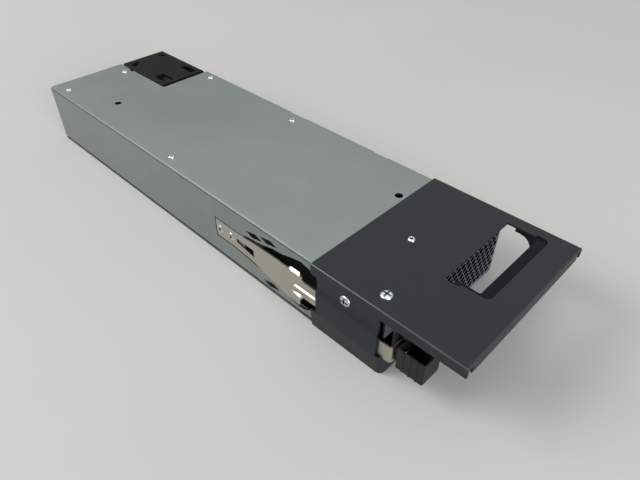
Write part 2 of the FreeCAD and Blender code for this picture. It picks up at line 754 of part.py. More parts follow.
def inlet_pins():
    """Three flat contacts, from just inside the mouth to solder tails behind the inlet."""
    pins = []
    floor = "(-front_depth - inlet_flange + socket_depth)"
    tail = "-front_depth + inlet_body + pin_tail"
    for index, (x, z) in enumerate(PIN_PLACES):
        low = (f"inlet_x + {x} - pin_thick / 2", f"{floor} - pin_length", f"inlet_z + {z} - pin_tall / 2")
        high = (f"inlet_x + {x} + pin_thick / 2", tail, f"inlet_z + {z} + pin_tall / 2")
        pins.append(block(f"inlet_pin_{index}", low, high))
    return keep("inlet_pins", group("inlet_pins", pins))


def status_lamp():
    """Clear light guide that shows the state of the supply through the grille."""
    stem = rod("lamp_stem", "y", ("lamp_x", "-front_depth - fit", "lamp_z"), "lamp_radius", "lamp_length")
    collar = rod("lamp_collar", "y", ("lamp_x", "-front_depth + steel", "lamp_z"), "lamp_radius + steel", "steel")
    return keep("status_lamp", joined("status_lamp", [stem, collar]))


# ---------------------------------------------------------------- latch

def slot_half(y, way):
    """Half height of the leaf's tapered slot, above or below the middle line, at some Y."""
    share = f"(leaf_slot_back - ({y})) / (leaf_slot_back - leaf_slot_front)"
    return f"(leaf_slot_half + (leaf_slot_{way} - leaf_slot_half) * {share})"


def latch_anchor():
    """Riveted end of the leaf spring, up to the neck where the leaf bends."""
    body = new_body("latch_anchor")
    half = "leaf_tall / 2"
    front = "neck + neck_gap / 2"
    strip = [(front, f"leaf_mid - {half} - leaf_flare_drop"), ("leaf_flare", f"leaf_mid - {half}"),
             ("anchor_back", f"leaf_mid - {half}"), ("anchor_back", f"leaf_mid + {half}"),
             (front, f"leaf_mid + {half}"), (front, f"leaf_mid + {slot_half(front, 'up')}"),
             ("leaf_slot_back", "leaf_mid + leaf_slot_half"), ("leaf_slot_back", "leaf_mid - leaf_slot_half"),
             (front, f"leaf_mid - {slot_half(front, 'down')}")]
    holes = [(y, "leaf_mid", "rivet_shank") for y in LATCH_RIVETS]
    pad(body, "YZ_Plane", LEAF_FACE, f"{LEAF_FACE} + leaf", [strip] + holes)
    return keep("latch_anchor", body)


LATCH_RIVETS = ["anchor_back - rivet_from_end", "anchor_back - rivet_from_end - rivet_gap"]


def latch_bracket():
    """Doubler welded inside the casing wall, which the leaf is riveted to."""
    body = new_body("latch_bracket")
    holes = [(y, "leaf_mid", "rivet_shank") for y in LATCH_RIVETS]
    plate = corners("bracket_front", "bracket_low", "bracket_back", "bracket_high")
    pad(body, "YZ_Plane", f"-{WALL}", f"-{WALL} + steel", [plate] + holes)
    return keep("latch_bracket", body)


def latch_blade():
    """Free part of the leaf: it rises to two hooks, dips under the front cover and turns in at its tip.

    The side outline and the bent plan section are each extruded, and the leaf is what they share.
    """
    half = "leaf_tall / 2"
    back = "neck - neck_gap / 2"
    side = new_body("latch_side")
    tip = f"-{TONGUE_FRONT} - 1"
    upper = [(back, f"leaf_mid + {slot_half(back, 'up')}"), (back, f"leaf_mid + {half}"),
             ("leaf_slot_front - 7.6", "wing_top - 2.9"), ("leaf_slot_front - 16", "wing_top - 0.8"),
             ("wing_back + 4", "wing_top"), ("wing_front + 1", "wing_top"), ("wing_front", "wing_top - 1")]
    tongue = [("wing_front", "root_high + 0.8"), ("wing_front - 1.6", "root_high"), ("-root_length", "root_high"),
              (f"tongue_rise + wing_front - {TONGUE_FRONT}", "tongue_high"), (tip, "tongue_high"),
              (tip, "tongue_low"), (f"tongue_rise + wing_front - {TONGUE_FRONT}", "tongue_low"),
              ("-root_length", "root_low"), ("wing_front - 1.6", "root_low"), ("wing_front", "root_low - 0.8")]
    lower = [("wing_front", "wing_low + 1"), ("wing_front + 1", "wing_low"), ("wing_back - 2", "wing_low"),
             ("wing_back + 3.6", "wing_low + 1.8"), ("leaf_slot_front - 6", "wing_low + 2.4"),
             ("leaf_slot_front", "wing_low + 3.4"), (back, f"leaf_mid - {half} - leaf_flare_drop"),
             (back, f"leaf_mid - {slot_half(back, 'down')}"), ("leaf_slot_front", "leaf_mid - leaf_slot_down"),
             ("leaf_slot_front", "leaf_mid + leaf_slot_up")]
    pad(side, "YZ_Plane", f"-{SIDE} - 6", f"-{SIDE} + 20", [upper + tongue + lower])
    plan = new_body("latch_plan")
    face = LEAF_FACE
    crest = f"{face} - wing_rise"
    low = f"{face} - tongue_rise"
    tip_x = f"{low} + tongue_turn"
    outer = [(face, back), (face, "leaf_slot_front + 2"), (crest, "wing_back"), (crest, "wing_front"),
             (low, "tongue_start"), (low, f"-{TONGUE_FRONT}"), (tip_x, f"-{TONGUE_FRONT}")]
    inner = [(tip_x, f"-{TONGUE_FRONT} + leaf"), (f"{low} + leaf", f"-{TONGUE_FRONT} + leaf"),
             (f"{low} + leaf", "tongue_start"), (f"{crest} + leaf", "wing_front"), (f"{crest} + leaf", "wing_back"),
             (f"{face} + leaf", "leaf_slot_front + 2"), (f"{face} + leaf", back)]
    pad(plan, "XY_Plane", "wing_low - 1", "wing_top + 1", [outer + inner])
    corner_x, corner_y = number(low), -number(TONGUE_FRONT)
    thick = number("leaf")
    round_edges(plan, "tongue_bend", lambda m, d: abs(d.z) > 1 and near(m.x, corner_x) and near(m.y, corner_y))
    round_edges(plan, "tongue_bend - leaf",
                lambda m, d: abs(d.z) > 1 and near(m.x, corner_x + thick) and near(m.y, corner_y + thick))
    blade = doc.addObject("Part::Common", "latch_blade_sheet")
    blade.Base = side
    blade.Tool = plan
    hole = rod("grip_rivet_hole", "y", (GRIP_RIVET_X, f"-{TONGUE_FRONT} - 1", GRIP_RIVET_Z), "grip_rivet", "leaf + 2")
    pressed = new_body("latch_crease")
    crease = [(crest, "crease_back"), (f"{crest} - crease_proud", "crease_back - 1"),
              (f"{crest} - crease_proud", "wing_front"), (f"{low} - crease_proud", "tongue_start"),
              (f"{low} - crease_proud", "crease_back - crease_length"), (f"{low} + leaf / 2", "crease_back - crease_length"),
              (f"{low} + leaf / 2", "tongue_start"), (f"{crest} + leaf / 2", "wing_front"),
              (f"{crest} + leaf / 2", "crease_back")]
    pad(pressed, "XY_Plane", "crease_z - crease_half", "crease_z + crease_half", [crease])
    hooks = []
    for z in ("hook_high", "hook_low"):
        hooks.append(new_body("latch_" + z))
        section = [(f"{crest} + leaf / 2", f"{z} - hook_half"), (f"{crest} + leaf / 2", f"{z} + hook_half"),
                   (crest, f"{z} + hook_half"), (f"{crest} - hook_proud", f"{z} + hook_half / 2"),
                   (f"{crest} - hook_proud", f"{z} - hook_half / 2"), (crest, f"{z} - hook_half")]
        pad(hooks[-1], "XZ_Plane", "wing_front", "wing_front + hook_length", [section])
    leaf = joined("latch_leaf", [blade, pressed] + hooks)
    return keep("latch_blade", cut("latch_blade", leaf, [hole]))


GRIP_LEFT = f"({LEAF_FACE} - grip_side)"
GRIP_RIVET_X = f"{LEAF_FACE} - tongue_rise + tongue_turn - 2.4"
GRIP_RIVET_Z = "(tongue_low + tongue_high) / 2"


def thumb_grip():
    """Moulded grip with an open top and ribs down its outer face, carried by a boss on the leaf's tip."""
    body = new_body("thumb_grip_shell")
    left, right = GRIP_LEFT, f"{GRIP_LEFT} + grip_width"
    back = f"-{TONGUE_FRONT} - grip_stand"
    front = f"{back} - grip_length"
    top = "grip_low + grip_tall"
    pad(body, "XY_Plane", "grip_low", top, [corners(left, front, right, back)])
    pad(body, "XZ_Plane", back, f"-{TONGUE_FRONT}",
        [corners(f"{GRIP_RIVET_X} - 3.4", "tongue_low + 0.5", f"{GRIP_RIVET_X} + 2.4", "tongue_high - 0.5")])
    x, y = number(left), number(front)
    round_edges(body, "grip_wall / 2", lambda m, d: abs(d.z) > 1 and near(m.x, x) and near(m.y, y))
    pocket(body, "XY_Plane", "grip_low + grip_wall", f"{top} + 1",
           [corners(f"{left} + grip_wall", f"{front} + grip_wall", f"{right} - grip_wall", f"{back} - grip_wall")])
    doc.recompute()
    pitch = "grip_length / (rib_count + 1)"
    rib = pad(body, "XY_Plane", "grip_low", top,
              [corners(f"{left} - rib_depth", f"{front} + {pitch} - rib_width / 2", f"{left} + grip_wall / 2",
                       f"{front} + {pitch} + rib_width / 2")])
    ribs = body.newObject("PartDesign::LinearPattern", "grip_ribs")
    ribs.Originals = [rib]
    ribs.Direction = (datum(body, "Y_Axis"), [""])
    ribs.setExpression("Length", formula(f"{pitch} * (rib_count - 1)"))
    ribs.setExpression("Occurrences", formula("rib_count"))
    body.Tip = ribs
    hole = rod("grip_hole", "y", (GRIP_RIVET_X, f"{back} - grip_wall - 1", GRIP_RIVET_Z), "grip_rivet",
               "grip_stand + grip_wall + 2")
    return keep("thumb_grip", cut("thumb_grip", body, [hole]))


# ---------------------------------------------------------------- fans

FAN_X = f"({BAY_LEFT} + fan_inset + fan_size / 2)"
FAN_Z = "(steel + fan_size / 2)"
FAN_A_FRONT = "(casing_length - guard_depth - fan_a_depth)"
FAN_B_FRONT = "(casing_length - guard_depth - fan_a_depth - fan_b_depth)"


def fan_square():
    half = "fan_size / 2"
    return corners(f"-{half}", f"-{half}", half, half)


def fan_corners(body, reach):
    doc.recompute()
    half = number("fan_size / 2")
    round_edges(body, reach, lambda m, d: abs(d.y) > 0.5 and near(abs(m.x), half) and near(abs(m.z), half))


def fan_holes(radius):
    half = "fan_hole_pitch / 2"
    return [(f"{a}{half}", f"{b}{half}", radius) for a in ("-", "") for b in ("-", "")]


def fan_guard():
    """Moulded finger guard at the rear: a square frame, three rings and four spokes."""
    body = new_body("fan_guard")
    pad(body, "XZ_Plane", "0", "guard_depth", [fan_square(), ("0", "0", "fan_bore")])
    fan_corners(body, "fan_corner")
    face = "guard_depth - guard_web"
    for ring in (1, 2, 3):
        radius = f"fan_bore * {ring} / 3.8"
        pad(body, "XZ_Plane", face, "guard_depth", [("0", "0", f"{radius} + 0.5"), ("0", "0", f"{radius} - 0.5")])
    pad(body, "XZ_Plane", face, "guard_depth", [("0", "0", "2.5")])
    reach = "(fan_bore + 0.4)"
    pad(body, "XZ_Plane", face, "guard_depth", [corners(f"-{reach}", "-0.6", reach, "0.6")])
    pad(body, "XZ_Plane", face, "guard_depth", [corners("-0.6", f"-{reach}", "0.6", reach)])
    pocket(body, "XZ_Plane", "-1", "guard_depth + 1", fan_holes("fan_hole_radius"))
    place(body, FAN_X, "casing_length - guard_depth", FAN_Z)
    return keep("fan_guard", body)


def fan_frame(label, depth, front, recesses, holes):
    """Square fan housing, recessed beside the barrel, with the motor mount on three struts."""
    body = new_body(label)
    bore = ("0", "0", "fan_bore")
    pad(body, "XZ_Plane", "0", depth, [fan_square(), bore])
    fan_corners(body, "fan_corner")
    pocket(body, "XY_Plane", "0", "fan_size / 2 + 1", recesses)
    pad(body, "XZ_Plane", "fan_flange / 2", f"{depth} - fan_flange / 2", [("0", "0", "fan_size / 2 - fan_skin"), bore])
    pad(body, "XZ_Plane", "0", "fan_strut", [("0", "0", "fan_hub")])
    for turn in (30, 150, 270):
        side = [(f"fan_hub / 2 * cos({turn}) - {s} * 1.1 * sin({turn})", f"fan_hub / 2 * sin({turn}) + {s} * 1.1 * cos({turn})")
                for s in (-1, 1)]
        rim = [(f"(fan_bore + 0.4) * cos({turn}) - {s} * 1.1 * sin({turn})",
                f"(fan_bore + 0.4) * sin({turn}) + {s} * 1.1 * cos({turn})") for s in (1, -1)]
        pad(body, "XZ_Plane", "0", "fan_strut", [side + rim])
    pad(body, "XZ_Plane", "fan_strut / 2", f"{depth} * 0.6", [("0", "0", "bearing_radius")])
    pocket(body, "XZ_Plane", "fan_strut / 2", f"{depth} * 0.6 + 1", [("0", "0", "shaft_radius + shaft_clearance")])
    if holes:
        pocket(body, "XZ_Plane", f"{depth} - fan_flange", f"{depth} + 1", fan_holes("fan_hole_radius"))
    place(body, FAN_X, front, FAN_Z)
    return keep(label, body)


def fan_recesses():
    """Recesses in the tops of the two housings: three-cornered in the rear one, long in the front one."""
    edge, left, right = "fan_size / 2 - recess_edge", "recess_left", "recess_right"
    back, front = "fan_a_depth - fan_flange", "fan_a_depth - fan_flange - recess_length"
    rear = [[(f"-({edge})", back), (f"-({edge})", front), (f"-{left}", back)],
            [(right, back), (edge, front), (edge, back)]]
    start, end = "fan_flange", "fan_b_depth - fan_flange"
    long = [corners(f"-({edge})", start, f"-{left}", end), corners(right, start, edge, end)]
    return rear, long


def fan_rotor(label, depth, front, blades, hand):
    """Cup with a shaft and twisted blades, which turns in the frame's bearing."""
    body = new_body(label)
    spin = body.newObject("PartDesign::Revolution", label + "_cup")
    cup, shell = "fan_hub + 0.5", "1.2"
    close = f"{depth} - 1.2"
    shaft_end = "fan_strut / 2 + 0.6"
    profile = [("0", close), (cup, close), (cup, "fan_strut + 0.8"), (f"{cup} - {shell}", "fan_strut + 0.8"),
               (f"{cup} - {shell}", f"{close} - {shell}"), ("shaft_radius", f"{close} - {shell}"),
               ("shaft_radius", shaft_end), ("0", shaft_end)]
    spin.Profile = sketch(body, "XY_Plane", "0", [profile])
    spin.ReferenceAxis = (datum(body, "Y_Axis"), [""])
    spin.Angle = 360
    doc.recompute()
    middle = f"({depth} + fan_strut) / 2"
    reach = {"root": f"{cup} - {shell} / 2", "tip": "fan_bore - blade_tip_gap"}
    stations = []
    for end, (swing, run) in BLADE_CHORDS.items():
        run = f"{run} * {depth} / fan_a_depth"
        swing = f"{hand} * {swing}"
        half = "blade_thick / 2"
        section = [(f"{middle} - {run}", f"-1 * {swing} - {half}"), (f"{middle}", f"{hand} * 0.9 - {half}"),
                   (f"{middle} + {run}", f"{swing} - {half}"), (f"{middle} + {run}", f"{swing} + {half}"),
                   (f"{middle}", f"{hand} * 0.9 + {half}"), (f"{middle} - {run}", f"-1 * {swing} + {half}")]
        stations.append(sketch(body, "YZ_Plane", reach[end], [section]))
    loft = body.newObject("PartDesign::AdditiveLoft", label + "_blade")
    loft.Profile = stations[0]
    loft.Sections = [stations[1]]
    loft.Ruled = True
    doc.recompute()
    wheel = body.newObject("PartDesign::PolarPattern", label + "_blades")
    wheel.Originals = [loft]
    wheel.Axis = (datum(body, "Y_Axis"), [""])
    wheel.Angle = 360
    wheel.Occurrences = blades
    body.Tip = wheel
    place(body, FAN_X, front, FAN_Z)
    return keep(label, body)


def fan_screws():
    """Four screws through the guard into the rear fan."""
    length = number("guard_depth + fan_flange - fit")
    shank, head, rise = number("fan_screw_radius"), number("fan_screw_head"), number("fan_screw_rise")
    shape = turned([(0, rise), (0.9 * head, rise), (head, 0), (shank, 0), (shank, -length), (0, -length)])
    half = number("fan_hole_pitch / 2")
    x, z, back = number(FAN_X), number(FAN_Z), number("casing_length")
    spots = [((x + a * half, back, z + b * half), (0, 1, 0)) for a in (-1, 1) for b in (-1, 1)]
    return fasteners("fan_screws", shape, spots)


# ---------------------------------------------------------------- inside

def main_board():
    """Main circuit board, narrowed beside the fans to reach the output connector."""
    body = new_body("main_board")
    side, tail_side, tail = BOARD_SIDE, f"{BAY_LEFT} - board_tail_in", "casing_length - board_end"
    outline = [(f"-{side}", BOARD_FRONT), (side, BOARD_FRONT), (side, BOARD_BACK), (tail_side, BOARD_BACK),
               (tail_side, tail), (f"-{side}", tail)]
    pad(body, "XY_Plane", "board_height", BOARD_TOP, [outline])
    return keep("main_board", body)


STANDOFFS = [(f"{sign} * ({BOARD_SIDE} - standoff_in)", y) for sign in (-1, 1)
             for y in (f"{BOARD_FRONT} + standoff_in + 1", f"{BOARD_BACK} / 2", f"{BOARD_BACK} - standoff_in - 3")]


def board_standoffs():
    """Pillars pressed into the tray, which carry the board."""
    pillars = [rod(f"standoff_{i}", "z", (x, y, "steel"), "standoff_radius", "board_height - steel")
               for i, (x, y) in enumerate(STANDOFFS)]
    return keep("board_standoffs", group("board_standoffs", pillars))


def insulator_sheet():
    """Thin film on the tray under the board, pierced for the pillars and folded up behind the latch."""
    left, foot = f"-{BOARD_SIDE} - 2 * insulator", "steel + insulator"
    floor = block("film_floor", (left, BOARD_FRONT, "steel"), (BOARD_SIDE, BOARD_BACK, foot))
    wall = block("film_wall", (left, "film_front", "steel"), (f"{left} + insulator", BOARD_BACK, "film_top"))
    film = joined("insulator_film", [floor, wall])
    holes = [rod(f"film_hole_{i}", "z", (x, y, "0"), "standoff_radius + fit", "steel + insulator + 1")
             for i, (x, y) in enumerate(STANDOFFS)]
    return keep("insulator_sheet", cut("insulator_sheet", film, holes))


SEAT = f"({BOARD_TOP} + part_gap)"


def line_filter():
    """Common-mode choke of the mains filter: a ring core standing on a moulded base."""
    centre = (f"{BOARD_FRONT} + choke_radius", f"{SEAT} + choke_radius + choke_lift")
    core = rod("choke_core", "y", ("choke_x", *centre), "choke_radius", "choke_thick")
    eye = rod("choke_eye", "y", ("choke_x", f"{centre[0]} - 1", centre[1]), "choke_eye", "choke_thick + 2")
    base = block("choke_base", ("choke_x - 10", f"{centre[0]} - 2", SEAT),
                 ("choke_x + 10", f"{centre[0]} + choke_thick + 2", f"{SEAT} + choke_lift + 1"))
    return keep("line_filter", joined("line_filter", [cut("choke_ring", core, [eye]), base]))


CAN_BACK = f"({BOARD_BACK} * can_end_share)"
SINK_X = f"(sink_in - {BOARD_SIDE})"
SINK_FRONT = f"({CAN_BACK} + sink_gap)"
SINK_BACK = f"({BOARD_BACK} - sink_end)"


def bridge_heatsink():
    """Extruded aluminium heatsink along the left of the board, with a comb of fins."""
    body = new_body("bridge_heatsink")
    low, high = SEAT, "casing_height - steel - sink_drop"
    face = f"{SINK_X} + sink_web"
    pad(body, "XY_Plane", low, high, [corners(SINK_X, SINK_FRONT, face, SINK_BACK)])
    fin = pad(body, "XY_Plane", low, high, [corners(face, SINK_FRONT, f"{face} + sink_fin", f"{SINK_FRONT} + sink_fin_thick")])
    doc.recompute()
    fins = body.newObject("PartDesign::LinearPattern", "bridge_fins")
    fins.Originals = [fin]
    fins.Direction = (datum(body, "Y_Axis"), [""])
    fins.setExpression("Length", formula(f"{SINK_BACK} - {SINK_FRONT} - sink_fin_thick"))
    fins.setExpression("Occurrences", formula("sink_fins"))
    body.Tip = fins
    return keep("bridge_heatsink", body)


def power_transistors():
    """Flat-pack switches clipped to the back of the first heatsink."""
    pitch = f"({SINK_BACK} - {SINK_FRONT}) / switch_count"
    low, high = f"{SEAT} + sink_web", f"{SEAT} + sink_web + switch_tall"
    packs = [block(f"switch_{i}", (f"{SINK_X} - switch_thick", f"{SINK_FRONT} + ({i} + 0.1) * {pitch}", low),
                   (SINK_X, f"{SINK_FRONT} + ({i} + 0.9) * {pitch}", high))
             for i in range(int(number("switch_count")))]
    return keep("power_transistors", group("power_transistors", packs))


def bulk_capacitors():
    """Two large electrolytic capacitors lying side by side."""
    start, height = f"{BOARD_BACK} * can_start_share", f"{SEAT} + can_radius + part_gap"
    cans = [rod(f"bulk_can_{i}", "y", (f"{WALL} - can_side - {1 - i} * can_pitch", start, height), "can_radius",
                f"{CAN_BACK} - ({start})") for i in range(2)]
    return keep("bulk_capacitors", group("bulk_capacitors", cans))


CORE_FRONT = f"({BOARD_BACK} - core_back - core_length)"


def transformer_core():
    """Ferrite core in two E halves: outer legs and a middle leg."""
    front, back, right = CORE_FRONT, f"{CORE_FRONT} + core_length", "core_x + core_width"
    middle = "core_x + core_width / 2"
    outer = block("core_outer", ("core_x", front, SEAT), (right, back, f"{SEAT} + core_tall"))
    window = block("core_window", ("core_x + core_leg", f"{front} - 1", f"{SEAT} + core_leg"),
                   (f"{right} - core_leg", f"{back} + 1", f"{SEAT} + core_tall - core_leg"))
    leg = block("core_leg", (f"{middle} - core_middle / 2", front, f"{SEAT} + core_leg - 1"),
                (f"{middle} + core_middle / 2", back, f"{SEAT} + core_tall - core_leg + 1"))
    return keep("transformer_core", joined("transformer_core", [cut("core_frame", outer, [window]), leg]))


def transformer_winding():
    """Taped winding round the middle leg, standing a little proud of the core."""
    front, back, middle = f"{CORE_FRONT} - coil_out", f"{CORE_FRONT} + core_length + coil_out", "core_x + core_width / 2"
    half, slack = "(core_width / 2 - core_leg - 2 * part_gap)", "2 * part_gap"
    coil = block("coil_outer", (f"{middle} - {half}", front, f"{SEAT} + core_leg + {slack}"),
                 (f"{middle} + {half}", back, f"{SEAT} + core_tall - core_leg - {slack}"))
    bore = block("coil_bore", (f"{middle} - core_middle / 2 - part_gap", f"{front} - 1", f"{SEAT} + core_leg - 2"),
                 (f"{middle} + core_middle / 2 + part_gap", f"{back} + 1", f"{SEAT} + core_tall"))
    return keep("transformer_winding", cut("transformer_winding", coil, [bore]))


def output_choke():
    """Ring-wound output inductor, lying flat."""
    middle = f"{BOARD_BACK} - ring_back"
    ring = rod("output_ring", "z", ("ring_x", middle, SEAT), "ring_radius", "ring_tall")
    eye = rod("output_eye", "z", ("ring_x", middle, f"{SEAT} - 1"), "choke_eye", "ring_tall + 2")
    return keep("output_choke", cut("output_choke", ring, [eye]))


def output_heatsink():
    """Second heatsink, beside the output rectifiers: a web with a flat top."""
    front, back = f"{BOARD_BACK} - rectifier_front", f"{BOARD_BACK} - rectifier_front + rectifier_length"
    left, high = f"-{BOARD_SIDE} + 2", "casing_height - steel - sink_drop"
    web = block("output_sink_web", (f"{left} + 6", front, SEAT), (f"{left} + 6 + sink_web", back, high))
    top = block("output_sink_top", (left, front, f"{high} - 2"), (f"{left} + rectifier_reach", back, high))
    return keep("output_heatsink", joined("output_heatsink", [web, top]))


def output_capacitors():
    """Upright electrolytic capacitors at the output."""
    cans = [rod(f"output_can_{i}_{j}", "z",
                (f"out_can_x + {i} * out_can_pitch", f"{BOARD_BACK} - out_can_back + {j} * out_can_pitch", SEAT),
                "out_can_radius", "out_can_tall") for i in range(3) for j in range(2)]
    return keep("output_capacitors", group("output_capacitors", cans))


def control_board():
    """Small upright board with the control circuit."""
    front = f"{BOARD_BACK} - control_back"
    return keep("control_board", block("control_board", ("control_x", front, SEAT),
                                       ("control_x + control_thick", f"{front} + control_length", f"{SEAT} + control_tall")))


CONNECTOR_LEFT = f"(connector_left - {WALL})"
CONNECTOR_RIGHT = f"({BAY_LEFT} - connector_right)"


def output_connector():
    """Moulded power connector at the rear, with a slot for each contact."""
    start = "casing_length - connector_depth"
    shell = block("connector_shell", (CONNECTOR_LEFT, start, BOARD_TOP),
                  (CONNECTOR_RIGHT, "casing_length", f"{BOARD_TOP} + connector_tall"))
    slots = []
    for i in range(int(number("blade_count"))):
        x = contact_x(i)
        slots.append(block(f"contact_slot_{i}", (f"{x} - blade_slot / 2", f"{start} - 1", f"{BOARD_TOP} + 2"),
                           (f"{x} + blade_slot / 2", "casing_length + 1", f"{BOARD_TOP} + connector_tall - 2")))
    return keep("output_connector", cut("output_connector", shell, slots))


def contact_x(index):
    pitch = f"({CONNECTOR_RIGHT} - {CONNECTOR_LEFT} - 2 * blade_end) / (blade_count - 1)"
    return f"({CONNECTOR_LEFT} + blade_end + {index} * {pitch})"


def output_contacts():
    """Blade contacts, held in the connector and soldered down to the board behind it."""
    blades = []
    start = "casing_length - connector_depth"
    for i in range(int(number("blade_count"))):
        x = contact_x(i)
        left, right = f"{x} - blade_slot / 2", f"{x} - blade_slot / 2 + blade_sheet"
        blade = block(f"contact_{i}", (left, f"{start} - 4", f"{BOARD_TOP} + 2"),
                      (right, "casing_length - 3", f"{BOARD_TOP} + connector_tall - 2"))
        leg = block(f"contact_leg_{i}", (left, f"{start} - 4", BOARD_TOP), (right, f"{start} - 2.4", f"{BOARD_TOP} + 3"))
        blades.append(joined(f"contact_blade_{i}", [blade, leg]))
    return keep("output_contacts", group("output_contacts", blades))


# ---------------------------------------------------------------- fasteners

def cover_rivets():
    """Domed rivets in the roof."""
    top = number("casing_height")
    return fasteners("cover_rivets", pan_rivet(), [((number(x), number(y), top), (0, 0, 1)) for x, y in ROOF_RIVETS])


def plate_rivet():
    """Domed rivet in the front plate."""
    spot = (number("plate_rivet_x"), number("plate_rivet_y"), number(PLATE_TOP))
    return fasteners("plate_rivet", pan_rivet(), [(spot, (0, 0, 1))])


def machine_screw(label, spot, facing):
    """Flat-headed machine screw."""
    head, shank = number("screw_head"), number("screw_shank")
    shape = turned([(0, 1.0), (0.75 * head, 1.0), (head, 0.4), (head, 0), (shank, 0),
                    (shank, -number("screw_length")), (0, -number("screw_length"))])
    return fasteners(label, shape, [(spot, facing)])


def latch_rivets():
    """Two tubular rivets through the leaf spring and its bracket."""
    face, inside = number(LEAF_FACE), number(f"-{WALL} + steel")
    shank, head, bore = number("rivet_shank"), number("rivet_head"), number("rivet_bore")
    grip = inside - face
    shape = turned([(bore, 0.4), (0.6 * head, 0.6), (head, 0), (shank, 0), (shank, -grip), (head, -grip),
                    (0.6 * head, -grip - 0.6), (bore, -grip - 0.4)])
    spots = [((face, number(y), number("leaf_mid")), (-1, 0, 0)) for y in LATCH_RIVETS]
    return fasteners("latch_rivets", shape, spots)


def grip_rivet():
    """Rivet that holds the thumb grip to the tip of the leaf."""
    shank, head = number("grip_rivet"), number("grip_rivet") + 1
    grip = number("leaf + grip_stand + grip_wall")
    shape = turned([(0, 0.5), (0.6 * head, 0.5), (head, 0), (shank, 0), (shank, -grip), (head, -grip),
                    (0.6 * head, -grip - 0.5), (0, -grip - 0.5)])
    spot = (number(GRIP_RIVET_X), number(f"-{TONGUE_FRONT} + leaf"), number(GRIP_RIVET_Z))
    return fasteners("grip_rivet", shape, [(spot, (0, 1, 0))])


for make in (base_tray, top_cover, rear_panel, front_cover, latch_foot, front_grille, ac_inlet, inlet_pins,
             status_lamp, latch_anchor, latch_bracket, latch_blade, thumb_grip, fan_guard):
    make()
rear_recesses, front_recesses = fan_recesses()
fan_frame("fan_rear_frame", "fan_a_depth", FAN_A_FRONT, rear_recesses, holes=True)
fan_rotor("fan_rear_rotor", "fan_a_depth", FAN_A_FRONT, blades=5, hand=1)
fan_frame("fan_front_frame", "fan_b_depth", FAN_B_FRONT, front_recesses, holes=False)
fan_rotor("fan_front_rotor", "fan_b_depth", FAN_B_FRONT, blades=4, hand=-1)
for make in (fan_screws, main_board, board_standoffs, insulator_sheet, line_filter, bridge_heatsink,
             output_heatsink, power_transistors, bulk_capacitors, transformer_core, transformer_winding,
             output_choke, output_capacitors, control_board, output_connector, output_contacts, cover_rivets,
             plate_rivet, latch_rivets, grip_rivet):
    make()
machine_screw("plate_screw", (number(PLATE_SCREW[0]), number(PLATE_SCREW[1]), number(PLATE_TOP)), (0, 0, 1))
machine_screw("side_screw", (number(f"-{COVER}"), number("side_screw_y"), number("side_screw_z")), (-1, 0, 0))
doc.recompute()

for item in doc.Objects:
    if "Invalid" in item.State or "Error" in item.State:
        raise RuntimeError(f"{item.Name} ({item.Label}) failed: {item.State}")
for item in nodes:
    if item.Shape.isNull() or not item.Shape.isValid() or not item.Shape.Solids:
        raise RuntimeError(f"{item.Label} has no sound solid")

os.makedirs("parts", exist_ok=True)
for item in nodes:
    item.Shape.exportStep(f"parts/{item.Label}.step")
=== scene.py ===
import math

import bmesh
import bpy
from mathutils import Matrix, Vector
from mathutils.geometry import tessellate_polygon


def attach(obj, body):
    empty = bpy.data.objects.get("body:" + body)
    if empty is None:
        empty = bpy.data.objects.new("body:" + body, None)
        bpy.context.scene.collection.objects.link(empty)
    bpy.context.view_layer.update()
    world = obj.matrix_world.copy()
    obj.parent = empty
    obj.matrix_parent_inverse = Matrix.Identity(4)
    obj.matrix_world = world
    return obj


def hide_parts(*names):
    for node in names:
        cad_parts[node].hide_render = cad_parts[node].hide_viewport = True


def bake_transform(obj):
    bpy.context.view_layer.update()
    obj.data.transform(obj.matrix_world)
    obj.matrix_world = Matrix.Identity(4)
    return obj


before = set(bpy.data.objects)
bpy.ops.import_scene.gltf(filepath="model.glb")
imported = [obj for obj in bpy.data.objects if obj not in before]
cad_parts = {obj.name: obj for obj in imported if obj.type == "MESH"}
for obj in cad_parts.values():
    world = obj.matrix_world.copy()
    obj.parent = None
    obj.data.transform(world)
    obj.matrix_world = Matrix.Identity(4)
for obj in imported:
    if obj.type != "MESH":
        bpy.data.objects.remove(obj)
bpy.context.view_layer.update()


# ------------------------------------------------------------ table, light and camera
# A pale laminate table top that runs out of sight, a wide soft lamp high beyond the left wall, a
# weaker one low in front of the handle, and an even pale room. Metal mirrors the room's bright
# ceiling and dim walls. Places and widths are in metres, powers in watts and turns in radians.

MM = 0.001
TABLE_REACH = 6
ROOM = "#f1f1ee"
ROOM_LIGHT = 0.57
WALLS_SEEN, CEILING_SEEN, BACKDROP = 0.04, 1.85, 0.9
CEILING_FROM = 0.15
LAMPS = {"window_lamp": ((-1.3, 1.6, 1.5), 1.4, 38), "front_lamp": ((-0.5, -1.8, 0.6), 1.0, 26)}
CAMERA_PLACE = (-0.17385, -0.12958, 0.20836)
CAMERA_TURN = 0.7966
CAMERA_DIP = 0.7063
CAMERA_ROLL = 0.0002
CAMERA_LENS, CAMERA_SENSOR, CAMERA_NEAREST = 30.96, 36, 0.01


def colour(code):
    """An sRGB hex code as the linear colour that a socket takes, by the sRGB curve."""
    parts = [int(code[i:i + 2], 16) / 255 for i in (1, 3, 5)]
    return [p / 12.92 if p <= 0.04045 else ((p + 0.055) / 1.055) ** 2.4 for p in parts] + [1.0]


def add(tree, kind, inputs=(), **settings):
    """Add a node. Inputs maps a socket's name or number to its value, or to the socket that feeds it."""
    item = tree.nodes.new(kind)
    for key, value in settings.items():
        setattr(item, key, value)
    for key, value in dict(inputs).items():
        if isinstance(value, bpy.types.NodeSocket):
            tree.links.new(value, item.inputs[key])
        else:
            item.inputs[key].default_value = value
    return item


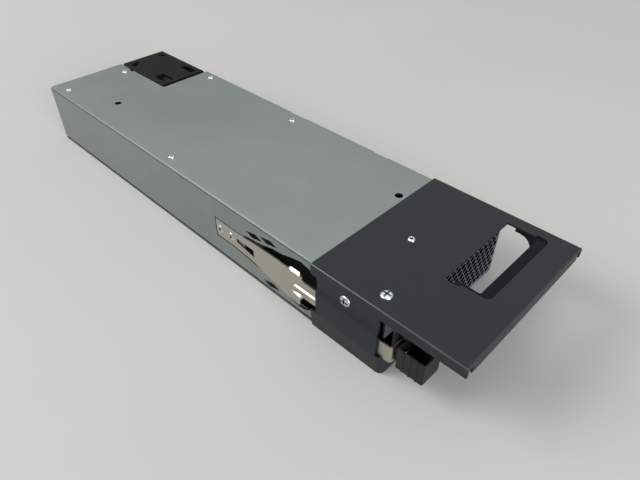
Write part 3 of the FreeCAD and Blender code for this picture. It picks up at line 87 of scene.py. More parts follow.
def per(size):
    """The texture scale at which a pattern repeats about every so many millimetres."""
    return 1 / (size * MM)


def new_material(name, **constants):
    """A material with its tree, its shader and the object's own coordinates."""
    item = bpy.data.materials.new(name)
    item.use_nodes = True
    tree = item.node_tree
    tree.nodes.clear()
    sockets = {key.replace("_", " "): value for key, value in constants.items()}
    shader = add(tree, "ShaderNodeBsdfPrincipled", sockets)
    add(tree, "ShaderNodeOutputMaterial", {"Surface": shader.outputs[0]})
    return item, tree, shader, add(tree, "ShaderNodeTexCoord").outputs["Object"]


def laminate():
    """Pressed melamine laminate: nearly white and silky, with faint handling marks."""
    finish, tree, shader, place = new_material("melamine_laminate", Roughness=0.7, Specular_IOR_Level=0.12)
    clouds = add(tree, "ShaderNodeTexNoise", {"Vector": place, "Scale": per(160), "Detail": 3.0})
    tone = add(tree, "ShaderNodeMix", {0: clouds.outputs[0], 6: colour("#c7c7c5"), 7: colour("#cdcdcb")},
               data_type="RGBA")
    tree.links.new(tone.outputs[2], shader.inputs["Base Color"])
    return finish


table = bpy.data.objects.new("table_top", bpy.data.meshes.new("table_top"))
bpy.context.scene.collection.objects.link(table)
corners = [(x * TABLE_REACH, y * TABLE_REACH, 0) for x, y in ((-1, -1), (1, -1), (1, 1), (-1, 1))]
table.data.from_pydata(corners, [], [(0, 1, 2, 3)])
table.data.materials.append(laminate())

room = bpy.data.worlds.new("pale_room")
bpy.context.scene.world = room
room.use_nodes = True
walls = room.node_tree
walls.nodes.clear()
path = add(walls, "ShaderNodeLightPath")
mirrored = add(walls, "ShaderNodeMath", {0: path.outputs["Is Glossy Ray"],
                                         1: path.outputs["Is Transmission Ray"]}, operation="MAXIMUM")
way = add(walls, "ShaderNodeTexCoord")
toward = add(walls, "ShaderNodeSeparateXYZ", {0: way.outputs[0]})
height = add(walls, "ShaderNodeMapRange", {0: toward.outputs["Z"], "From Min": CEILING_FROM,
                                           "To Min": WALLS_SEEN, "To Max": CEILING_SEEN})
lit = add(walls, "ShaderNodeMix", {0: mirrored.outputs[0], 2: ROOM_LIGHT, 3: height.outputs[0]})
level = add(walls, "ShaderNodeMix", {0: path.outputs["Is Camera Ray"], 2: lit.outputs[0], 3: BACKDROP})
glow = add(walls, "ShaderNodeBackground", {"Color": colour(ROOM), "Strength": level.outputs[0]})
add(walls, "ShaderNodeOutputWorld", {"Surface": glow.outputs[0]})

for name, (place, width, power) in LAMPS.items():
    lamp = bpy.data.objects.new(name, bpy.data.lights.new(name, "AREA"))
    bpy.context.scene.collection.objects.link(lamp)
    lamp.data.size = width
    lamp.data.energy = power
    lamp.location = place
    lamp.rotation_euler = (-Vector(place)).to_track_quat("-Z", "Y").to_euler()

camera = bpy.data.objects.new("camera", bpy.data.cameras.new("camera"))
bpy.context.scene.collection.objects.link(camera)
ahead = Vector((math.sin(CAMERA_TURN) * math.cos(CAMERA_DIP), math.cos(CAMERA_TURN) * math.cos(CAMERA_DIP),
                -math.sin(CAMERA_DIP)))
across = Vector((math.cos(CAMERA_TURN), -math.sin(CAMERA_TURN), 0))
upward = across.cross(ahead)
right = math.cos(CAMERA_ROLL) * across + math.sin(CAMERA_ROLL) * upward
up = math.cos(CAMERA_ROLL) * upward - math.sin(CAMERA_ROLL) * across
camera.matrix_world = Matrix.Translation(CAMERA_PLACE) @ Matrix((right, up, -ahead)).transposed().to_4x4()
camera.data.lens = CAMERA_LENS
camera.data.sensor_width = CAMERA_SENSOR
camera.data.clip_start = CAMERA_NEAREST
bpy.context.scene.camera = camera
bpy.context.scene.view_settings.view_transform = "Standard"


# ------------------------------------------------------------ floor of the casing
# Electro-galvanised steel, 1 mm: the tray under the whole unit, with a lip folded up at each side
# and a hem that runs out under the walls. The lips' outer sides, the hem's top and its foot below
# the fold lie in the shade along the walls; they carry painted shade, which shows as two dark lines.

# Places within NEAR millimetres of each other count as one. A face looks along an axis if its normal
# has more than FACING of it, and stands edge on to it with less than EDGE_ON.
NEAR, FACING, EDGE_ON = 0.1, 0.9, 0.1
EDGE_ROOM = 2.2


def zinc_coated_sheet(name, dark, light):
    """Electro-galvanised sheet: an even grey with soft clouds, a fine grain and faint rolling lines.

    The grain and the lines are drawn coarser than the real ones, at 0.9 and 1.6 mm, to show at all.
    """
    finish, tree, shader, place = new_material(name, Metallic=0.85)
    clouds = add(tree, "ShaderNodeTexNoise", {"Vector": place, "Scale": per(60), "Detail": 4.0,
                                              "Roughness": 0.6})
    cloud = add(tree, "ShaderNodeMapRange", {0: clouds.outputs[0], "From Min": 0.3, "From Max": 0.7})
    tone = add(tree, "ShaderNodeMix", {0: cloud.outputs[0], 6: colour(dark), 7: colour(light)},
               data_type="RGBA")
    grain = add(tree, "ShaderNodeTexNoise", {"Vector": place, "Scale": per(0.9), "Detail": 3.0,
                                             "Roughness": 0.7})
    speck = add(tree, "ShaderNodeMix", {0: 0.12, 6: tone.outputs[2], 7: grain.outputs[1]}, data_type="RGBA",
                blend_type="SOFT_LIGHT")
    rolled = add(tree, "ShaderNodeMapping", {"Vector": place, "Scale": (1, 0.02, 1)})
    lines = add(tree, "ShaderNodeTexNoise", {"Vector": rolled.outputs[0], "Scale": per(1.6), "Detail": 2.0})
    gloss = add(tree, "ShaderNodeMapRange", {0: lines.outputs[0], "To Min": 0.40, "To Max": 0.52})
    relief = add(tree, "ShaderNodeBump", {"Height": grain.outputs[0], "Strength": 0.25,
                                          "Distance": 0.02 * MM})
    tree.links.new(speck.outputs[2], shader.inputs["Base Color"])
    tree.links.new(gloss.outputs[0], shader.inputs["Roughness"])
    tree.links.new(relief.outputs[0], shader.inputs["Normal"])
    return finish


def merged(node):
    """A node's solid as an editable copy: its doubles merged and its flat faces whole again."""
    shape = bmesh.new()
    shape.from_mesh(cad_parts[node].data)
    bmesh.ops.remove_doubles(shape, verts=shape.verts, dist=0.001 * MM)
    bmesh.ops.dissolve_limit(shape, angle_limit=math.radians(0.5), verts=shape.verts, edges=shape.edges)
    return shape


def new_piece(name, shape, edge=0.15, sharp=35, where=None):
    """An object from an edited shape, with its sharp edges broken by so many millimetres.

    An edge stays as it is if neither of its faces has room for that, or if its middle, in
    millimetres, fails the test that where gives.
    """
    weights = shape.edges.layers.float.new("bevel_weight_edge")
    breadth = {face: face.calc_area() / max(line.calc_length() for line in face.edges)
               for face in shape.faces}
    for face in shape.faces:
        face.smooth = True
    for line in shape.edges:
        if len(line.link_faces) == 2 and line.calc_face_angle() > math.radians(sharp):
            line.smooth = False
            wide = max(breadth[face] for face in line.link_faces) > EDGE_ROOM * edge * MM
            line[weights] = wide and (not where or where((line.verts[0].co + line.verts[1].co) / 2 / MM))
    mesh = bpy.data.meshes.new(name)
    shape.to_mesh(mesh)
    shape.free()
    item = bpy.data.objects.new(name, mesh)
    bpy.context.scene.collection.objects.link(item)
    if edge:
        broken = item.modifiers.new("broken_edges", "BEVEL")
        broken.width = edge * MM
        broken.segments = 2
        broken.limit_method = "WEIGHT"
        broken.use_clamp_overlap = False
    even = item.modifiers.new("even_shading", "WEIGHTED_NORMAL")
    even.keep_sharp = True
    return item


def remade(node, name, edge=0.15):
    """A node's solid as it is, with its sharp edges broken."""
    return new_piece(name, merged(node), edge)


def mark(shape, chosen):
    """Give each face the finish whose number the test returns for its centre in mm and its normal."""
    for face in shape.faces:
        face.material_index = int(chosen(face.calc_center_median() / MM, face.normal))
    return shape


def fit(item, finish, nodes, body="root", marked=()):
    """Give a piece its finish and those of its marked faces, and let it stand for its CAD nodes."""
    if not item.data.materials:
        item.data.materials.append(finish)
    for other in marked:
        item.data.materials.append(other)
    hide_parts(*nodes)
    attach(item, body)


def box(shape, low, high):
    """A closed box between two corners in millimetres, added to a shape."""
    middle = Matrix.Translation((Vector(low) + Vector(high)) / 2 * MM)
    size = Matrix.Diagonal([*((Vector(high) - Vector(low)) * MM), 1])
    bmesh.ops.create_cube(shape, size=1, matrix=middle @ size)


def cut_edge_and_shade_finish():
    """Sheared steel edge, where the zinc is cut through: dull and lightly torn, and dark as painted shade,
    for it also paints the shade in gaps, slits and slots.
    """
    finish, tree, shader, place = new_material("sheared_steel_edge_and_painted_shade", Metallic=0.6)
    tear = add(tree, "ShaderNodeTexNoise", {"Vector": place, "Scale": per(0.3), "Detail": 2.0})
    tone = add(tree, "ShaderNodeMix", {0: tear.outputs[0], 6: colour("#17191a"), 7: colour("#2b2d2e")},
               data_type="RGBA")
    gloss = add(tree, "ShaderNodeMapRange", {0: tear.outputs[0], "To Min": 0.6, "To Max": 0.8})
    tree.links.new(tone.outputs[2], shader.inputs["Base Color"])
    tree.links.new(gloss.outputs[0], shader.inputs["Roughness"])
    return finish


zinc_sheet = zinc_coated_sheet("electro_galvanised_sheet", "#89918f", "#929997")
cut_edge_and_painted_shade = cut_edge_and_shade_finish()
CASING_END = 258.2
HEM_LOW, HEM_FOLD, HEM_TOP = 0.05, 0.5, 1.05
HEM_IN, HEM_OUT, HEM_START = 45.6, 46.75, 0.2
floor = merged("base_tray")
for side in (-1, 1):
    near, far = sorted((side * HEM_IN, side * HEM_OUT))
    for low, high in ((HEM_LOW, HEM_FOLD), (HEM_FOLD, HEM_TOP)):
        box(floor, (near, HEM_START, low), (far, CASING_END, high))


def in_gap(middle, normal):
    """True on the lips' outer sides, on the hem's top and under its fold, which all lie in the shade and
    are painted dark as shade.
    """
    if abs(middle.x) < HEM_IN - NEAR or middle.z > HEM_TOP + 2 * NEAR and abs(normal.x) < FACING:
        return False
    return abs(middle.x) < HEM_IN + NEAR or middle.z < HEM_FOLD or normal.z > FACING


mark(floor, in_gap)
# The marked faces get the dark finish: painted shade in the gap under the walls.
fit(new_piece("casing_floor", floor, edge=0.1), zinc_sheet, ["base_tray"],
    marked=[cut_edge_and_painted_shade])


# ------------------------------------------------------------ roof and sides of the casing
# One galvanised sheet folded down at both sides, pierced for rivets, vents and the latch, and cut
# away over the fans. It slides over the tray and is riveted to it. The zinc over the folds is
# painted darker, as painted shade beside their highlight, and its holes show the cut steel,
# painted dark as shade.

ROOF_LOW, ROOF_TOP = 39.0, 40.0
WALL_OUT, WALL_IN, WALL_FOOT = -46.75, -45.75, 2.1
SKIN = 0.05
WALL_HOLES = (1.5, 37)
ROOF_HOLES_SIDE, ROOF_HOLES_END = 46, 240
FOLD_IN, FOLD_LOW, FOLD_TILT = 45.6, 38.3, (0.12, 0.99)


def cut_through(middle, normal):
    """True on the edges of the holes in the left wall and in the roof.

    They lie between the sheet's two skins, and within the part of the wall or roof that has holes.
    """
    in_wall = (WALL_OUT + SKIN < middle.x < WALL_IN - SKIN and abs(normal.x) < EDGE_ON
               and WALL_HOLES[0] < middle.z < WALL_HOLES[1])
    in_roof = (ROOF_LOW + SKIN < middle.z < ROOF_TOP - SKIN and abs(normal.z) < EDGE_ON
               and abs(middle.x) < ROOF_HOLES_SIDE and middle.y < ROOF_HOLES_END)
    return in_wall or in_roof


def roof_finish(middle, normal):
    """Which finish a face of the roof carries: 0 plain, 1 on a cut edge, dark with painted shade, 2 on the
    folds, darker with painted shade.
    """
    if cut_through(middle, normal):
        return 1
    on_fold = abs(middle.x) > FOLD_IN and middle.z > FOLD_LOW
    return 2 if on_fold and FOLD_TILT[0] < normal.z < FOLD_TILT[1] and abs(normal.x) > FOLD_TILT[0] else 0


def left_wall(middle):
    """True on the left wall below its fold, where the holes' edges are broken."""
    return middle.x < WALL_IN + SKIN and middle.z < WALL_HOLES[1]


# A darker copy of the sheet for the folds: painted shade.
folds_painted_shade_zinc = zinc_coated_sheet("electro_galvanised_sheet_painted_shade_on_folds", "#666d6b", "#6c7371")
roof = mark(merged("top_cover"), roof_finish)
for vert in roof.verts:
    vert.co.z = max(vert.co.z, WALL_FOOT * MM)
fit(new_piece("casing_roof", roof, where=left_wall), zinc_sheet, ["top_cover"],
    marked=[cut_edge_and_painted_shade, folds_painted_shade_zinc])


# ------------------------------------------------------------ rear panel and latch doubler
# Galvanised steel: the wall beside the fans, with the opening for the output connector and a narrow
# flange that closes it to the left wall, and the plate welded inside that wall that the latch is
# riveted to.

FLANGE_LOW, FLANGE_HIGH = (-45.65, CASING_END - 1, 5.2), (-44.5, CASING_END - 0.05, 38.9)
panel = merged("rear_panel")
box(panel, FLANGE_LOW, FLANGE_HIGH)
fit(new_piece("casing_rear", panel), zinc_sheet, ["rear_panel"])
fit(remade("latch_bracket", "latch_doubler"), zinc_sheet, ["latch_bracket"])


# ------------------------------------------------------------ front cover
# Steel sheet, folded and then powder coated: the plate that doubles as a handle, with its hand
# hole and pressed band, the flanges and both side walls, and the foot under the latch. The coat is
# thin and glossy over the folds, and painted lighter there as a painted highlight; down in the
# band it is painted darker as painted shade.

def powder_coat(name, dark, light, sheen=0.32, rough=0.46):
    """Black powder coat, satin: a soft sheen with the faint orange peel of cured powder, 0.8 mm wide."""
    finish, tree, shader, place = new_material(name, Specular_IOR_Level=sheen)
    peel = add(tree, "ShaderNodeTexNoise", {"Vector": place, "Scale": per(0.8), "Detail": 2.0})
    clouds = add(tree, "ShaderNodeTexNoise", {"Vector": place, "Scale": per(40), "Detail": 3.0})
    tone = add(tree, "ShaderNodeMix", {0: clouds.outputs[0], 6: colour(dark), 7: colour(light)},
               data_type="RGBA")
    gloss = add(tree, "ShaderNodeMapRange", {0: clouds.outputs[0], "To Min": rough - 0.04,
                                             "To Max": rough + 0.04})
    relief = add(tree, "ShaderNodeBump", {"Height": peel.outputs[0], "Strength": 0.3,
                                          "Distance": 0.03 * MM})
    tree.links.new(tone.outputs[2], shader.inputs["Base Color"])
    tree.links.new(gloss.outputs[0], shader.inputs["Roughness"])
    tree.links.new(relief.outputs[0], shader.inputs["Normal"])
    return finish


coat = powder_coat("black_powder_coat", "#1a1f23", "#1f2428", sheen=0.3)
# The band's coat is darker, a painted shade; the folds' coat is lighter, a painted highlight.
pressed_band_painted_shade = powder_coat("black_powder_coat_pressed_painted_shade", "#0e1015", "#12141a", sheen=0.1)
fold_painted_highlight = powder_coat("black_powder_coat_painted_highlight_on_folds", "#2a2f33", "#30353a", sheen=0.6, rough=0.26)
PLATE_TOP, BAND_TOP = 40.4, 39.6
PLATE_FOLD_LOW, PLATE_FOLD_TILT = 38, (0.25, 0.95)


def cover_finish(middle, normal):
    """Which coat a face of the cover carries: 0 plain, 1 in the pressed band, painted darker as shade, 2 on
    the plate's folds, painted lighter as a highlight.
    """
    if normal.z > FACING and abs(middle.z - BAND_TOP) < NEAR:
        return 1
    tilted = PLATE_FOLD_TILT[0] < normal.z < PLATE_FOLD_TILT[1]
    outward = min(normal.x, normal.y) < -PLATE_FOLD_TILT[0]
    return 2 if tilted and outward and middle.z > PLATE_FOLD_LOW else 0


cover = mark(merged("front_cover"), cover_finish)
fit(new_piece("handle_cover", cover, edge=0), coat, ["front_cover"],
    marked=[pressed_band_painted_shade, fold_painted_highlight])
fit(remade("latch_foot", "latch_side_foot"), coat, ["latch_foot"])


# ------------------------------------------------------------ grille
# Steel sheet punched in a honeycomb and dipped black: air goes in here and out at the fans.
# The webs between the holes are under a millimetre wide. The holes' walls and the fold at the left
# end get no light, and their coat is dull and painted dark as shade.

dip_coat = powder_coat("black_dip_coat", "#454a4f", "#52575c")
holes_painted_shade_coat = powder_coat("black_dip_coat_painted_shade_in_holes", "#101214", "#16181a", sheen=0.1)
GRILLE_FOLD = -40
GRILLE_HOLES, GRILLE_HOLE_TILT = (1.5, 38), 0.3


def unlit(middle, normal):
    """True on the fold at the grille's left end and on the walls of its holes, which are painted dark as
    shade.
    """
    in_hole = abs(normal.y) < GRILLE_HOLE_TILT and GRILLE_HOLES[0] < middle.z < GRILLE_HOLES[1]
    return middle.x < GRILLE_FOLD or in_hole


grille = mark(merged("front_grille"), unlit)
fit(new_piece("honeycomb_front", grille, edge=0.08), dip_coat, ["front_grille"],
    marked=[holes_painted_shade_coat])


# ------------------------------------------------------------ mains inlet and status lamp
# Moulded glass-filled nylon inlet with three nickel-plated blades, snapped into the grille, and
# the clear rod beside it that carries the light of the status lamp.

CLOUD_GAIN = 1.25


def moulded(name, code, grit, rough=0.55, sheen=0.3):
    """Plastic as it leaves its mould or its rolls, with a fine grit that keeps its sheen low.

    The grit is in millimetres, and is drawn coarser than the real one, to show at all.
    """
    finish, tree, shader, place = new_material(name, Roughness=rough, Specular_IOR_Level=sheen)
    spark = add(tree, "ShaderNodeTexNoise", {"Vector": place, "Scale": per(grit), "Detail": 2.0})
    relief = add(tree, "ShaderNodeBump", {"Height": spark.outputs[0], "Strength": 0.4,
                                          "Distance": 0.04 * MM})
    clouds = add(tree, "ShaderNodeTexNoise", {"Vector": place, "Scale": per(15), "Detail": 2.0})
    lighter = [min(1, share * CLOUD_GAIN) for share in colour(code)[:3]] + [1]
    tone = add(tree, "ShaderNodeMix", {0: clouds.outputs[0], 6: colour(code), 7: lighter},
               data_type="RGBA")
    tree.links.new(tone.outputs[2], shader.inputs["Base Color"])
    tree.links.new(relief.outputs[0], shader.inputs["Normal"])
    return finish


def plated(name, dull, bright, smooth, rough):
    """Electroplated metal: bright, with the soft mottling that a thin plating bath leaves, 1.2 mm wide."""
    finish, tree, shader, place = new_material(name, Metallic=1.0)
    mottle = add(tree, "ShaderNodeTexNoise", {"Vector": place, "Scale": per(1.2), "Detail": 3.0})
    tone = add(tree, "ShaderNodeMix", {0: mottle.outputs[0], 6: colour(dull), 7: colour(bright)},
               data_type="RGBA")
    gloss = add(tree, "ShaderNodeMapRange", {0: mottle.outputs[0], "To Min": smooth, "To Max": rough})
    tree.links.new(tone.outputs[2], shader.inputs["Base Color"])
    tree.links.new(gloss.outputs[0], shader.inputs["Roughness"])
    return finish


def clear_guide():
    """Cast acrylic rod, polished at its end, a little hazy inside."""
    finish, tree, shader, place = new_material("clear_acrylic_rod", Roughness=0.08, IOR=1.49,
                                               Transmission_Weight=0.8)
    haze = add(tree, "ShaderNodeTexNoise", {"Vector": place, "Scale": per(1.5), "Detail": 2.0})
    tone = add(tree, "ShaderNodeMix", {0: haze.outputs[0], 6: colour("#dfe6e2"), 7: colour("#f2f5f3")},
               data_type="RGBA")
    tree.links.new(tone.outputs[2], shader.inputs["Base Color"])
    return finish


inlet_nylon = moulded("moulded_inlet_nylon", "#202223", grit=0.5)
nickel = plated("nickel_plated_brass", "#b9b5a8", "#d2cfc4", 0.2, 0.35)
fit(remade("ac_inlet", "mains_inlet"), inlet_nylon, ["ac_inlet"])
fit(remade("inlet_pins", "mains_blades", edge=0.3), nickel, ["inlet_pins"])
fit(remade("status_lamp", "lamp_rod", edge=0.2), clear_guide(), ["status_lamp"])


# ------------------------------------------------------------ latch spring
# Spring steel strip, 0.8 mm, blanked, bent cold and left bare. Its rear end is riveted to the
# casing. Forward of its slotted neck it rises to two hooked ears, and a creased tongue, with a slit
# lanced under the crease, runs on under the cover and bends round into the grip. The slit is a
# groove painted dark as shade, and the slot's edges carry painted shade.

LEAF_THICK = 0.8
LEAF_FLAT = -46.55
LEAF_CREST = -48.5
LEAF_TONGUE = -47.4
RISE_START, RISE_END = 46, 18
BEND_START = -46.6
BEND_RADIUS = 2.0
LEAF_OUTLINE = [
    (73.6, 25.25), (73.6, 13.95), (57.7, 13.95), (49, 13.05), (42.6, 12.3), (36.6, 11.3), (21.6, 10.7),
    (16, 8.9), (7.2, 8.9), (6.2, 9.9), (6.2, 13.0), (4.6, 13.8), (-6, 13.8), (-41.5, 12), (-56.2, 12),
    (-56.2, 22), (-41.5, 22), (-6, 24.3), (4.6, 24.3), (6.2, 25.1), (6.2, 28.8), (7.2, 29.8),
    (13.6, 29.8), (14.6, 28.4), (22, 28.6), (26.6, 28.3), (35, 26.9), (49, 25.25)]
LEAF_SLOT = [(56.2, 18.6), (56.2, 20.6), (55.6, 20.9), (42.6, 20.7), (42.6, 16.1), (55.6, 18.3)]
SLOT_LENGTH, SLOT_HEIGHT = (42.4, 56.4), (16, 21)
RIVET_HOLES = [(70.1, 19.6), (60.9, 19.6)]
RIVET_HOLE, RIVET_HOLE_SIDES = 1.5, 16
CREASE_TOP, CREASE_RIDGE, CREASE_EDGE, CREASE_FOOT, CREASE_RISE = 19.85, 19.1, 19.0, 17.6, 0.9
CREASE_START, CREASE_END, CREASE_FADE, CREASE_LIP = 12.0, -29.0, 2, 0.01
CREASE_COVERED, CREASE_COVERED_SHARE = -4.3, 0.5
DIP_START, DIP_END = 18.0, 7.5
EAR_OUT, EAR_START, EAR_END, EAR_FRONT = -48.9, 20.0, 6.2, 6.15
EAR_LOW_TOP, EAR_LOW_FOOT, EAR_LOW_SWEEP = 15.3, 14.0, 0.6
EAR_HIGH_START, EAR_HIGH_END, EAR_HIGH_FOOT, EAR_HIGH_STEP = 14.8, 13.0, 27.5, 28.5
EAR_ROLL, EAR_ROLL_CURL, EAR_TOP = 1.5, 1.15, 29.9
EAR_LOW_STEPS, EAR_HIGH_STEPS = 5, 8
ROW, ROWS = 0.8, range(-62, 62)
SLIT_INSET, SLIT_TILT, SLOT_TILT = 1, -0.2, 0.3


def held(value):
    """A share kept between 0 and 1."""
    return min(max(value, 0), 1)


def eased(value):
    """The same share with a soft start and end, as a bend runs into a flat."""
    share = held(value)
    return share * share * (3 - 2 * share)


def leaf_point(run, height):
    """A point on the outer face: where it lies on the strip becomes where it lies on the bent leaf."""
    out = LEAF_FLAT + (LEAF_CREST - LEAF_FLAT) * eased((RISE_START - run) / (RISE_START - RISE_END))
    out += (LEAF_TONGUE - LEAF_CREST) * eased((DIP_START - run) / (DIP_START - DIP_END))
    if run > EAR_FRONT:
        low = eased((EAR_LOW_TOP - height) / (EAR_LOW_TOP - EAR_LOW_FOOT))
        high = eased((height - EAR_HIGH_FOOT) / (EAR_HIGH_STEP - EAR_HIGH_FOOT))
        curl = max((height - EAR_HIGH_STEP) / (EAR_TOP - EAR_HIGH_STEP), 0)
        low *= held((EAR_START - run) / (EAR_START - EAR_END)) ** EAR_LOW_SWEEP
        high *= eased((EAR_HIGH_START - run) / (EAR_HIGH_START - EAR_HIGH_END))
        out += max(low, high) * (EAR_OUT + EAR_ROLL * curl ** EAR_ROLL_CURL - out)
    ends = eased((CREASE_START - run) / CREASE_FADE) * eased((run - CREASE_END) / CREASE_FADE)
    ends *= CREASE_COVERED_SHARE + (1 - CREASE_COVERED_SHARE) * eased(run - CREASE_COVERED)
    if CREASE_RIDGE <= height < CREASE_TOP:
        out -= CREASE_RISE * ends * (CREASE_TOP - height) / (CREASE_TOP - CREASE_RIDGE)
    elif CREASE_EDGE < height < CREASE_RIDGE:
        out -= CREASE_RISE * ends
    if run >= BEND_START:
        return Vector((out, run, height)) * MM
    turn = min((BEND_START - run) / BEND_RADIUS, math.pi / 2)
    past = max(BEND_START - run - BEND_RADIUS * math.pi / 2, 0)
    return Vector((out + BEND_RADIUS * (1 - math.cos(turn)) + past,
                   BEND_START - BEND_RADIUS * math.sin(turn), height)) * MM


def rivet_hole(y, z):
    """The outline of a rivet hole round its middle."""
    turns = [side * 2 * math.pi / RIVET_HOLE_SIDES for side in range(RIVET_HOLE_SIDES)]
    return [(y + RIVET_HOLE * math.cos(turn), z + RIVET_HOLE * math.sin(turn)) for turn in turns]


def leaf_strip():
    """The blank, cut into rows and bent, then given its thickness on the inner side."""
    loops = [LEAF_OUTLINE, LEAF_SLOT] + [rivet_hole(y, z) for y, z in RIVET_HOLES]
    spots = [Vector((y, z, 0)) for loop in loops for y, z in loop]
    triangles = tessellate_polygon([[Vector((y, z, 0)) for y, z in loop] for loop in loops])
    shape = bmesh.new()
    points = [shape.verts.new(spot) for spot in spots]
    for triangle in triangles:
        shape.faces.new([points[i] for i in triangle])
    rows = [(Vector((row * ROW, 0, 0)), Vector((1, 0, 0))) for row in ROWS]
    levels = [CREASE_TOP, CREASE_RIDGE, CREASE_RIDGE - CREASE_LIP, CREASE_EDGE, CREASE_FOOT]
    levels += [EAR_HIGH_FOOT, EAR_HIGH_STEP]
    levels += [EAR_LOW_FOOT + (EAR_LOW_TOP - EAR_LOW_FOOT) * step / EAR_LOW_STEPS
               for step in range(EAR_LOW_STEPS + 1)]
    levels += [EAR_HIGH_STEP + (EAR_TOP - EAR_HIGH_STEP) * step / EAR_HIGH_STEPS
               for step in range(1, EAR_HIGH_STEPS)]
    rows += [(Vector((0, level, 0)), Vector((0, 1, 0))) for level in levels]
    for place, facing in rows:
        bmesh.ops.bisect_plane(shape, geom=shape.verts[:] + shape.edges[:] + shape.faces[:], dist=1e-4,
                               plane_co=place, plane_no=facing)
    for vert in shape.verts:
        vert.co = leaf_point(vert.co.x, vert.co.y)
    bmesh.ops.recalc_face_normals(shape, faces=shape.faces)
    if sum(face.normal.x * face.calc_area() for face in shape.faces) > 0:
        bmesh.ops.reverse_faces(shape, faces=shape.faces)
    bmesh.ops.solidify(shape, geom=shape.faces[:], thickness=LEAF_THICK * MM)
    bmesh.ops.recalc_face_normals(shape, faces=shape.faces)
    return shape


def settled(item):
    """Turn a piece's modifiers into plain mesh."""
    graph = bpy.context.evaluated_depsgraph_get()
    mesh = bpy.data.meshes.new_from_object(item.evaluated_get(graph))
    item.modifiers.clear()
    item.data = mesh
    return item


def spring_steel():
    """Cold-rolled spring steel, bare: a warm grey with lines along the strip, drawn 0.5 mm wide to show."""
    finish, tree, shader, place = new_material("rolled_spring_steel", Metallic=1.0)
    drawn = add(tree, "ShaderNodeMapping", {"Vector": place, "Scale": (1, 0.03, 1)})
    lines = add(tree, "ShaderNodeTexNoise", {"Vector": drawn.outputs[0], "Scale": per(0.5), "Detail": 3.0})
    tone = add(tree, "ShaderNodeMix", {0: lines.outputs[0], 6: colour("#aeaa9f"), 7: colour("#c0bcb1")},
               data_type="RGBA")
    gloss = add(tree, "ShaderNodeMapRange", {0: lines.outputs[0], "To Min": 0.34, "To Max": 0.48})
    tree.links.new(tone.outputs[2], shader.inputs["Base Color"])
    tree.links.new(gloss.outputs[0], shader.inputs["Roughness"])
    return finish


def lanced(middle, normal):
    """True in the groove under the crease, which stands for the lanced slit, and on the slot's edges: the
    faces that get painted shade.
    """
    in_slit = (CREASE_FOOT < middle.z < CREASE_EDGE and normal.x < SLIT_TILT
               and CREASE_END + SLIT_INSET < middle.y < CREASE_START - SLIT_INSET)
    in_slot = (SLOT_LENGTH[0] < middle.y < SLOT_LENGTH[1] and SLOT_HEIGHT[0] < middle.z < SLOT_HEIGHT[1]
               and abs(normal.x) < SLOT_TILT)
    return in_slit or in_slot


# The lanced faces get the second finish, a painted shade.
leaf = settled(new_piece("latch_leaf", mark(leaf_strip(), lanced), edge=0, sharp=25))
leaf.data.materials.append(spring_steel())
leaf.data.materials.append(cut_edge_and_painted_shade)
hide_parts("latch_anchor", "latch_blade")
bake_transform(leaf)


# ------------------------------------------------------------ rivets
# Zinc-plated steel. The latch has two tubular rivets and the grip one solid one; the roof and the
# plate have blind rivets, pulled from outside, which leave a dimple where the stem broke off. The
# dimples and the tubes' bores are painted dark as shade.

def turned(name, profile, steps=24, sharp=40):
    """A solid of revolution about Z from its (radius, height) corners in millimetres."""
    shape = bmesh.new()
    points = [shape.verts.new((r * MM, 0, z * MM)) for r, z in profile]
    edges = [shape.edges.new(pair) for pair in zip(points, points[1:])]
    bmesh.ops.spin(shape, geom=points + edges, cent=(0, 0, 0), axis=(0, 0, 1), angle=2 * math.pi,
                   steps=steps)
    bmesh.ops.remove_doubles(shape, verts=shape.verts, dist=0.002 * MM)
    bmesh.ops.dissolve_degenerate(shape, edges=shape.edges, dist=0.002 * MM)
    bmesh.ops.recalc_face_normals(shape, faces=shape.faces)
    mesh = bpy.data.meshes.new(name)
    shape.to_mesh(mesh)
    shape.free()
    mesh.shade_smooth()
    mesh.set_sharp_from_angle(angle=math.radians(sharp))
    item = bpy.data.objects.new(name, mesh)
    bpy.context.scene.collection.objects.link(item)
    return item


def standing_tree():
    """Geometry Nodes: one copy of a piece on each point, its axis along the point's own direction."""
    tree = bpy.data.node_groups.new("pieces_on_points", "GeometryNodeTree")
    for label, kind in (("Places", "Geometry"), ("Piece", "Object"), ("Finish", "Material"),
                        ("Recess", "Material")):
        tree.interface.new_socket(label, in_out="INPUT", socket_type="NodeSocket" + kind)
    tree.interface.new_socket("Pieces", in_out="OUTPUT", socket_type="NodeSocketGeometry")
    given = add(tree, "NodeGroupInput").outputs
    piece = add(tree, "GeometryNodeObjectInfo", {"Object": given["Piece"]})
    facing = add(tree, "GeometryNodeInputNamedAttribute", {"Name": "facing"}, data_type="FLOAT_VECTOR")
    turn = add(tree, "FunctionNodeAlignRotationToVector", {"Vector": facing.outputs[0]}, axis="Z")
    copies = add(tree, "GeometryNodeInstanceOnPoints", {"Points": given["Places"],
                                                        "Instance": piece.outputs["Geometry"],
                                                        "Rotation": turn.outputs[0]})
    whole = add(tree, "GeometryNodeRealizeInstances", {0: copies.outputs[0]})
    dressed = add(tree, "GeometryNodeSetMaterial", {"Geometry": whole.outputs[0],
                                                    "Material": given["Finish"]})
    # Faces marked hollow get the recess finish: painted shade.
    hollow = add(tree, "GeometryNodeInputNamedAttribute", {"Name": "hollow"}, data_type="BOOLEAN")
    shaded = add(tree, "GeometryNodeSetMaterial", {"Geometry": dressed.outputs[0],
                                                   "Selection": hollow.outputs[0],
                                                   "Material": given["Recess"]})
    add(tree, "NodeGroupOutput", {0: shaded.outputs[0]})
    return tree


standing = standing_tree()


